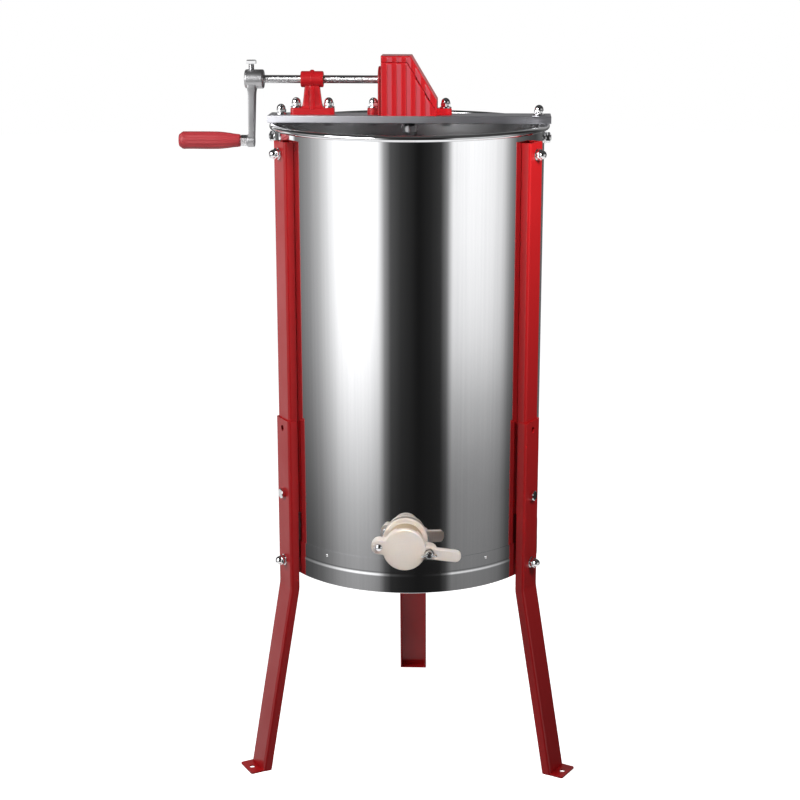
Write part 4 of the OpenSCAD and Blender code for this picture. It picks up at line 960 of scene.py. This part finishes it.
tab_x = [box_x0 + 8 * MM, slope_x - 8 * MM]


def roof(x, drop):
    """Height of the housing's outline over the deck, moved in by a drop square to its top and its slope."""
    flat = box_h - drop
    hang = (slope_x * sin(slope) + box_h * cos(slope) - drop - x * sin(slope)) / cos(slope)
    return np.minimum(flat, hang)


def fine_ends(low, high, edge, count):
    """Places from low to high, close together within an edge's width of both ends."""
    near = edge * (1 - np.cos(np.linspace(0, pi / 2, 6)))
    return np.concatenate([low + near, np.linspace(low + edge, high - edge, count)[1:-1], high - near[::-1]])


def quarter(distance, radius):
    """How far a face falls back near its edge: a quarter round of the radius."""
    near = np.clip(radius - distance, 0, radius)
    return radius - np.sqrt(radius ** 2 - near ** 2)


def mirrored(front):
    """A body from a front grid of points and its mirror image behind, joined round their borders by walls."""
    index = np.arange(front.shape[0] * front.shape[1]).reshape(front.shape[:2])
    border = np.concatenate([index[:, 0], index[-1, 1:], index[-2::-1, -1], index[0, -2:0:-1]])
    after = np.roll(border, -1)
    walls = np.stack([border, after, after + index.size, border + index.size], -1)
    quads = cells(index)
    points = front.reshape(-1, 3)
    return np.concatenate([points, points * [1, -1, 1]]), [quads, quads[:, ::-1] + index.size, walls[:, ::-1]]


def cast_face(x, low, high, depth):
    """A casting with columns at x and rows from low to high: flutes as smooth ridges along the height of its
    front, with its left, right and upper edges rounded. The back is the same."""
    share = 1 - np.cos(np.linspace(0, pi / 2, 14))
    share = np.concatenate([0.5 * share, 1 - 0.5 * share[-2::-1]])
    height = low[:, None] + (high - low)[:, None] * share
    across = np.broadcast_to(x[:, None], height.shape)
    beside = np.minimum(x - x[0], x[-1] - x)[:, None]
    over = (high[:, None] - height) * np.where(x > slope_x, cos(slope), 1.0)[:, None]
    off = np.abs((across / flute_pitch + 0.5) % 1.0 - 0.5) * flute_pitch
    ridge = eased((flute_w / 2 + flute_edge - off) / (2 * flute_edge)) * (np.abs(across) < flute_span)
    fade = np.clip((over - 1 * MM) / (2 * MM), 0, 1)
    bulge = depth + flute_out * ridge * fade - quarter(np.minimum(beside, over), cast_r)
    return mirrored(np.stack([across, -bulge, height + deck_z], -1))


columns = fine_ends(box_x0, box_x1, cast_r, 140)
# The two depths paint a paler sheen, a painted highlight, on the flutes that stand out of the front and back.
red_casting = paint("red_casting", (0.55, 0.012, 0.017), (0.44, 0.008, 0.012), 0.35, 0.16, 0.8,
                    (box_y + 0.7 * MM, box_y + 1.2 * MM))
case = cast_face(columns, np.zeros_like(columns), roof(columns, cover_h), box_y)
boss_line = np.concatenate([[[-boss_r, 0], [boss_r, 0]], arc((0, shaft_h), boss_r, 0, 180)])
boss = slab(soften(boss_line, 0.6 * MM, 200), -2 * MM, boss_out, 0.2 * MM, 1.6 * MM)
boss = moved(boss, [[0, -1, 0], [0, 0, 1], [-1, 0, 0]], [box_x0, 0, deck_z])
lug_line = np.concatenate([arc((0, 0), lug_r, -90, 90), [[lug_in, lug_r], [lug_in, -lug_r]]])
lug = slab(soften(lug_line, 0.4 * MM, 160), 0, lug_h, 0.3 * MM, 1.6 * MM)
lugs = [moved(lug, [[way, 0, 0], [0, way, 0], UP], [way * lug_x, 0, deck_z]) for way in (-1, 1)]
piece("gear_case", "stand", "red_casting", red_casting, [case, boss, *lugs], "gear_housing")

lid = cast_face(columns, roof(columns, cover_h - seam), roof(columns, 0), box_y + cover_lip)
tab_line = np.array([[-0.5, 0], [0.5, 0], [0.5, 1], [-0.5, 1]]) * [tab_w, tab_h + cover_h / 2]
tab = slab(soften(tab_line, 0.9 * MM, 96), -flute_out, tab_t, 0.2 * MM, 0.6 * MM)
tabs = [moved(tab, [[-1, 0, 0], UP, [0, 1, 0]], [x, box_y + flute_out, tab_low]) for x in tab_x]
piece("gear_lid", "stand", "red_casting", red_casting, [lid, *tabs], "gear_cover")
bronze = cast_metal("bronze", (0.60, 0.41, 0.19), (0.48, 0.32, 0.14), 0.22, 0.36, 0.08)
dress(bright_steel, "cover_screws")
dress(bronze, "housing_bush", "pedestal_bush")
dress(gear_iron, "drive_gear")

# Pedestal bearing: a smaller casting of the same kind that carries the outer end of the drive shaft. Its
# hub has an oil boss on top and a moulding line round the middle, and a rib stiffens the column.
base_x, base_y, base_t = 30 * MM, 11 * MM, 9 * MM
hub_r, hub_half = 11 * MM, 15.5 * MM
bush_r = 7.6 * MM
column_low, column_top, column_y = 13.5 * MM, 9 * MM, 7 * MM
column_edge = 2.2 * MM
column_end = shaft_h - bush_r - 0.4 * MM
flare_w, flare_y, flare_h = 2.2 * MM, 2.0 * MM, 2.5 * MM
rib_half, rib_out, rib_fade_h = 2.5 * MM, 3.2 * MM, 6 * MM
line_half, line_foot, line_r = 0.8 * MM, 1.2 * MM, hub_r + 0.5 * MM
oil_r, oil_hole_r = 3.4 * MM, 1.1 * MM
oil_low, oil_top = shaft_h + bush_r + 1 * MM, shaft_h + hub_r + 1.7 * MM
oil_hole_z = shaft_h + hub_r + 0.8 * MM
base = slab(oblong(-base_x, -base_y, base_x, base_y, 5 * MM, 8), 0, base_t, 0.3 * MM, 1.8 * MM)
rise = np.linspace(base_t - 2 * MM, column_end, 40)
share = (rise - base_t) / (shaft_h - base_t)
flare = np.exp(-np.maximum(rise - base_t, 0) / flare_h)
half_w = column_low + (column_top - column_low) * share + flare_w * flare
across = np.sin(np.linspace(-pi / 2, pi / 2, 61))
column_x = across[:, None] * half_w
edge = (1 - np.abs(across))[:, None] * half_w
rib = eased((rib_half + 1 * MM - np.abs(column_x)) / (2 * MM))
rib *= np.clip((column_end - rise) / rib_fade_h, 0, 1)
column_out = column_y + rib_out * rib + flare_y * flare - quarter(edge, column_edge)
column = mirrored(np.stack([column_x, -column_out, np.broadcast_to(rise, column_x.shape)], -1))
hub_line = rounded([[bush_r, -hub_half], [hub_r, -hub_half], [hub_r, -line_foot], [line_r, -line_half],
                    [line_r, line_half], [hub_r, line_foot], [hub_r, hub_half], [bush_r, hub_half]],
                   np.array([0.4, 1.6, 0.2, 0.2, 0.2, 0.2, 1.6, 0.4]) * MM, closed=True)
hub = moved(turned(hub_line, 72, ring=True), X_AXES, UP * shaft_h)
oil = turned(rounded([[0, oil_low], [oil_r + 1 * MM, oil_low], [oil_r, shaft_h + hub_r + 0.3 * MM],
                      [oil_r - 1.6 * MM, oil_top], [oil_hole_r, oil_top], [oil_hole_r, oil_hole_z],
                      [0, oil_hole_z]], 0.3 * MM), 32)
piece("pedestal_casting", "stand", "red_casting", red_casting,
      [carried(shell, [pedestal_x, 0, deck_z]) for shell in (base, column, hub, oil)], "pedestal")

# Drive shaft and crank: a bright drawn shaft with the gear on its inner end and the crank on its outer one.
# The crank is an aluminium casting, clamped to the shaft by a hexagon screw in its hub.
shaft_low, shaft_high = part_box("drive_shaft")
shaft_r = shaft_high[1]
(hub_out, _, _), (hub_in, _, _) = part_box("crank_arm")
arm_x = hub_out + 9 * MM
pin_z = joints["grip_spin"]["pos_m"][2]
crank_hub_r = 13 * MM
mouth_r, mouth_x = shaft_r + 0.3 * MM, hub_in - 2 * MM
arm_out, arm_out_low = 4.2 * MM, 5.8 * MM
arm_in, arm_in_low = 6.0 * MM, 2.6 * MM
arm_half_w, arm_half_w_low = 10 * MM, 7 * MM
arm_sides = 64
fillet_out, fillet_h = 1.2 * MM, 3 * MM
squareness = 0.22
pin_boss_r, pin_boss_out, pin_boss_in = 9 * MM, 7.5 * MM, 2.5 * MM
screw_seat = shaft_z + 20.5 * MM


def squared(wave):
    """A sine or cosine raised to a small power with its sign kept, which squares a circle's corners out."""
    return np.sign(wave) * np.abs(wave) ** squareness


drawn_steel = metal("drawn_steel", (0.85, 0.85, 0.86), (0.78, 0.78, 0.79), 0.10, 0.16,
                    (7000, 5, 5), 0.5, 1.0, 1.5 * MM)
cast_aluminium = cast_metal("cast_aluminium", (0.56, 0.56, 0.57), (0.46, 0.46, 0.47), 0.38, 0.50, 0.12)
shaft = rod(shaft_r, shaft_low[0], shaft_high[0], 0.8 * MM, 64)
piece("crank_shaft", "crank", "bright_steel", drawn_steel, [moved(shaft, X_AXES, UP * shaft_z)],
      "drive_shaft")

crank_hub = turned(rounded([[0, hub_out], [crank_hub_r, hub_out], [crank_hub_r, hub_in], [mouth_r, hub_in],
                            [mouth_r, mouth_x], [0, mouth_x]],
                           np.array([1, 2.4, 2.0, 0.5, 0.5, 1]) * MM), 72)
arm_z = np.linspace(shaft_z, pin_z, 48)[:, None]
down = (shaft_z - arm_z) / (shaft_z - pin_z)
fillet = fillet_out * np.exp(-np.maximum(shaft_z - crank_hub_r - arm_z, 0) / fillet_h)
outer = arm_out + (arm_out_low - arm_out) * down + fillet
inner = arm_in + (arm_in_low - arm_in) * down + fillet
wide = arm_half_w + (arm_half_w_low - arm_half_w) * down + fillet
turn = circle(arm_sides)
arm = capped(row(arm_x + (inner - outer) / 2 + (inner + outer) / 2 * squared(np.cos(turn)),
                 wide * squared(np.sin(turn)), arm_z))
pin_boss = rod(pin_boss_r, arm_x - pin_boss_out, arm_x + pin_boss_in, 1.4 * MM, 64, 4)
piece("crank_casting", "crank", "cast_aluminium", cast_aluminium,
      [moved(crank_hub, X_AXES, UP * shaft_z), arm, moved(pin_boss, X_AXES, UP * pin_z)], "crank_arm")

clamp_head = stood(hex_bolt(1 * MM), [arm_x, 0, screw_seat], -UP, np.array([0, 1, 0]))
clamp_thread = carried(threaded(bolt_r, shaft_z + 6 * MM, screw_seat + 0.5 * MM), [arm_x, 0, 0])
piece("clamp_screw", "crank", "bright_steel", bright_steel, [clamp_head, clamp_thread], "crank_screw")

# Grip: a red plastic handle that turns freely on a steel pin screwed into the crank. A bright nut locks the
# pin, and fine flutes run along the handle from its neck to its bevelled end.
(pin_x0, _, _), (pin_x1, _, _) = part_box("grip_pin")
(grip_x0, _, _), (grip_x1, _, _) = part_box("grip")
pin_r = 4 * MM
pin_head_r = 6 * MM
pin_neck = pin_x0 + 3.5 * MM
ferrule_l = 9.6 * MM
ferrule_flats = 13.5 * MM
grip_r = 12.25 * MM
grip_bore_r = pin_r + 0.05 * MM
grip_neck_r = 8.8 * MM
grip_sides = 144
cup_r = 6.3 * MM
flute_count = 13
flute_depth = 0.5 * MM
bulb_end = 0.93
lock = stood(plain_nut(ferrule_flats, ferrule_l, pin_r), [arm_x - pin_boss_out, 0, pin_z], [-1, 0, 0])
pin_line = rounded([[0, pin_x0], [pin_head_r, pin_x0], [pin_head_r, pin_neck], [pin_r, pin_neck],
                    [pin_r, pin_x1], [0, pin_x1]], 0.5 * MM, 2)
pin = moved(turned(pin_line, 32), X_AXES, UP * pin_z)
piece("handle_pin", "crank", "bright_steel", drawn_steel, [lock, pin], "grip_pin")

knots = np.array([0, 0.02, 0.10, 0.20, 0.33, 0.50, bulb_end])
girths = [grip_neck_r - 0.6 * MM, grip_neck_r, grip_neck_r + 0.7 * MM, grip_r - 1.4 * MM,
          grip_r - 0.2 * MM, grip_r, grip_r - 0.1 * MM]
along = np.concatenate([np.linspace(0, 0.02, 4), np.linspace(0.02, bulb_end, 60)[1:]])
kernel = np.hanning(9) / np.hanning(9).sum()
bulb = np.convolve(np.pad(np.interp(along, knots, girths), 4, mode="edge"), kernel, "valid")
turn = circle(grip_sides)
groove = flute_depth * (0.5 - 0.5 * np.cos(flute_count * turn))
fluted = np.clip((along - 0.06) / 0.08, 0, 1) * np.clip((0.91 - along) / 0.05, 0, 1)
end = np.array([[grip_r - 0.5 * MM, 0.945], [grip_r - 3.6 * MM, 0.995], [grip_r - 4.4 * MM, 1.0],
                [cup_r + 0.1 * MM, 1.0], [cup_r, 0.995], [cup_r, 0.95], [grip_bore_r, 0.95],
                [grip_bore_r, 0.0]])
radius = np.concatenate([bulb[:, None] - groove * fluted[:, None], np.repeat(end[:, :1], grip_sides, 1)])
back = np.concatenate([along, end[:, 1]])[:, None] * (grip_x1 - grip_x0)
grip_grid = row(grip_x1 - back, radius * np.cos(turn), pin_z + radius * np.sin(turn))
red_plastic = plastic("red_plastic", (0.56, 0.055, 0.065), (0.48, 0.04, 0.05), 0.42, 0.12, 500.0)
piece("handle", "grip", "red_plastic", red_plastic, [weave(grip_grid, True, True)], "grip")

# Studio: a white paper floor in a white room. The drum mirrors a tall panel on the left and on the right of
# the camera, the dark gap between them, a strip on the left flank, the pale ground and a light behind. Four
# softboxes light the paint, the gate and the crank.
floor_r = 9.0
floor_sides = 96
shine = 1.15
fill = 0.25
floor_mesh = bpy.data.meshes.new("studio_floor")
floor_edge = spun(floor_r, [0.0], circle(floor_sides))[0]
floor_mesh.from_pydata(floor_edge.tolist(), [], [list(range(floor_sides))])
floor = bpy.data.objects.new("studio_floor", floor_mesh)
bpy.context.scene.collection.objects.link(floor)
floor_paper = bpy.data.materials.new("floor_paper")
floor_paper.use_nodes = True
paper = floor_paper.node_tree.nodes["Principled BSDF"].inputs
paper["Base Color"].default_value = (0.9, 0.9, 0.9, 1)
paper["Roughness"].default_value = 0.9
paper["Emission Color"].default_value = (1, 1, 1, 1)
paper["Emission Strength"].default_value = 1.0
floor_mesh.materials.append(floor_paper)
floor.visible_glossy = False
floor.visible_diffuse = False

world = bpy.data.worlds.new("studio")
world.use_nodes = True
bpy.context.scene.world = world
sky = world.node_tree
sky.nodes.clear()


def reckon(operation, first, second=0.0, third=0.0):
    """One step of arithmetic in the studio's light."""
    return add(sky, "Math", {"operation": operation}, {0: first, 1: second, 2: third}).outputs[0]


def profile(angle, *stops):
    """Brightness along an angle in degrees, straight from stop to stop of (angle, brightness)."""
    low, high = stops[0][0], stops[-1][0]
    share = add(sky, "MapRange", None, {0: angle, 1: low, 2: high}).outputs[0]
    made = add(sky, "ValToRGB", None, {0: share})
    ramp = made.color_ramp.elements
    ramp.remove(ramp[1])
    ramp[0].position = 0.0
    ramp[0].color = (*(stops[0][1],) * 3, 1)
    for at, value in stops[1:]:
        ramp.new((at - low) / (high - low)).color = (*(value,) * 3, 1)
    return made.outputs[0]


look = add(sky, "SeparateXYZ", None, {0: add(sky, "TexCoord").outputs["Generated"]}).outputs
bearing = reckon("ARCTAN2", look["X"], reckon("MULTIPLY", look["Y"], -1.0))
bearing = reckon("MULTIPLY", bearing, 180 / pi)
climb = reckon("MULTIPLY", reckon("ARCSINE", look["Z"]), 180 / pi)
left_wide = profile(bearing, (-150, 0.03), (-112, 0.10), (-102, 0.14), (-92, 0.20), (-80, 0.34),
                    (-69, 0.58), (-59, 0.85), (-49, 0.99), (-42, 1.0), (-31, 0.92), (-23.7, 0.73),
                    (-18.3, 0.22), (-13, 0.05), (-4, 0.018), (10, 0.0))
left_tall = profile(climb, (-48, 0.05), (-25, 0.20), (-19.6, 0.34), (-18, 0.48), (-16.3, 0.70),
                    (-14.6, 0.95), (-13, 1.19), (-11.3, 1.37), (-9, 1.5), (-4, 1.6), (15, 1.4),
                    (21, 0.3), (28, 0.05), (50, 0.0))
right_wide = profile(bearing, (12, 0.0), (21, 0.01), (29.5, 0.03), (35, 0.23), (40, 0.92), (48, 0.97),
                     (57, 1.0), (67, 0.98), (77, 0.91), (88, 0.74), (98, 0.30), (106, 0.11), (125, 0.05),
                     (150, 0.03))
right_tall = profile(climb, (-48, 0.04), (-25, 0.12), (-19.3, 0.19), (-17.3, 0.23), (-16.3, 0.30),
                     (-14.6, 0.46), (-13, 0.72), (-11.3, 0.87), (-9, 1.0), (-4, 1.1), (1, 0.5), (6, 0.3),
                     (16, 0.3), (24, 0.05), (50, 0.0))
flank_wide = profile(bearing, (-150, 0.0), (-134, 1.0), (-114, 1.0), (-109, 0.0))
flank_tall = profile(climb, (-27, 0.0), (-23, 0.6), (-14, 0.75), (-4, 1.1), (0, 0.0))
back_wide = profile(reckon("ABSOLUTE", bearing), (128, 0.0), (150, 1.0))
back_tall = profile(climb, (-6, 0.1), (3, 0.3), (24, 0.3), (38, 0.0))
ground = profile(climb, (-60, 0.9), (-36, 0.85), (-26, 0.0))
overhead = profile(climb, (30, 0.010), (60, 0.06))
light = reckon("ADD", reckon("MULTIPLY", left_wide, left_tall), reckon("MULTIPLY", right_wide, right_tall))
for other in (reckon("MULTIPLY", flank_wide, flank_tall), ground, reckon("MULTIPLY", back_wide, back_tall)):
    light = reckon("MAXIMUM", light, other)
light = reckon("ADD", light, overhead)
path = add(sky, "LightPath").outputs
strength = reckon("MULTIPLY_ADD", path["Is Diffuse Ray"], fill - shine, shine)
panels = add(sky, "Background", None, {"Color": light, "Strength": strength})
surround = add(sky, "Background", None, {"Color": (1, 1, 1, 1), "Strength": 1.0})
mix = add(sky, "MixShader", None, {0: path["Is Camera Ray"], 1: panels.outputs[0], 2: surround.outputs[0]})
sky.links.new(mix.outputs[0], add(sky, "OutputWorld").inputs["Surface"])


def placed(name, data, right, top, back, at):
    """An object of the studio with its x, y and z along three directions, at a point."""
    pose = np.eye(4)
    pose[:3] = np.stack([right, top, back, at], -1)
    made = bpy.data.objects.new(name, data)
    made.matrix_world = Matrix(pose.tolist())
    bpy.context.scene.collection.objects.link(made)
    return made


def softbox(name, at, toward, width, height, power, beam, colours=True, shines=True):
    """A rectangular light aimed at a point, its height kept upright. It may light colour, shine or both,
    and the camera doesn't see it."""
    data = bpy.data.lights.new(name, "AREA")
    data.shape = "RECTANGLE"
    data.size, data.size_y = width, height
    data.energy = power
    data.spread = radians(beam)
    back = np.array(at, float) - toward
    back /= np.linalg.norm(back)
    right = np.cross(UP, back)
    right /= np.linalg.norm(right)
    made = placed(name, data, right, np.cross(back, right), back, at)
    made.visible_camera = False
    made.visible_diffuse = colours
    made.visible_glossy = shines


softbox("left_box", (-1.45, -0.45, 1.35), (0, 0, 0.75), 1.0, 0.6, 12, 150, shines=False)
softbox("left_sheen", (-1.15, -1.10, 1.45), (0, 0, 0.85), 1.2, 0.5, 14, 150, colours=False)
softbox("gate_box", (0.15, -1.75, 0.62), (0.03, -0.21, 0.385), 0.12, 0.10, 0.052, 11, shines=False)
softbox("right_box", (0.50, -0.65, 1.25), (0.1, 0, 0.85), 0.35, 0.30, 4.8, 120, shines=False)
bpy.context.scene.view_settings.view_transform = "Standard"

# Camera: where the photograph was taken from, a little to the right of the gate and above the drum. It looks
# slightly to the left and down.
eye_at = np.array([0.128306, -2.384674, 1.136907])
heading, tilt, bank = -0.05941, -0.25508, -0.00098
ahead = np.array([sin(heading) * cos(tilt), cos(heading) * cos(tilt), sin(tilt)])
right = np.array([cos(heading), -sin(heading), 0.0])
top = np.cross(right, ahead)
right, top = right * cos(bank) + top * sin(bank), top * cos(bank) - right * sin(bank)
camera_data = bpy.data.cameras.new("camera")
camera_data.lens = 77.61
camera_data.sensor_width = 36
bpy.context.scene.camera = placed("camera", camera_data, right, top, -ahead, eye_at)
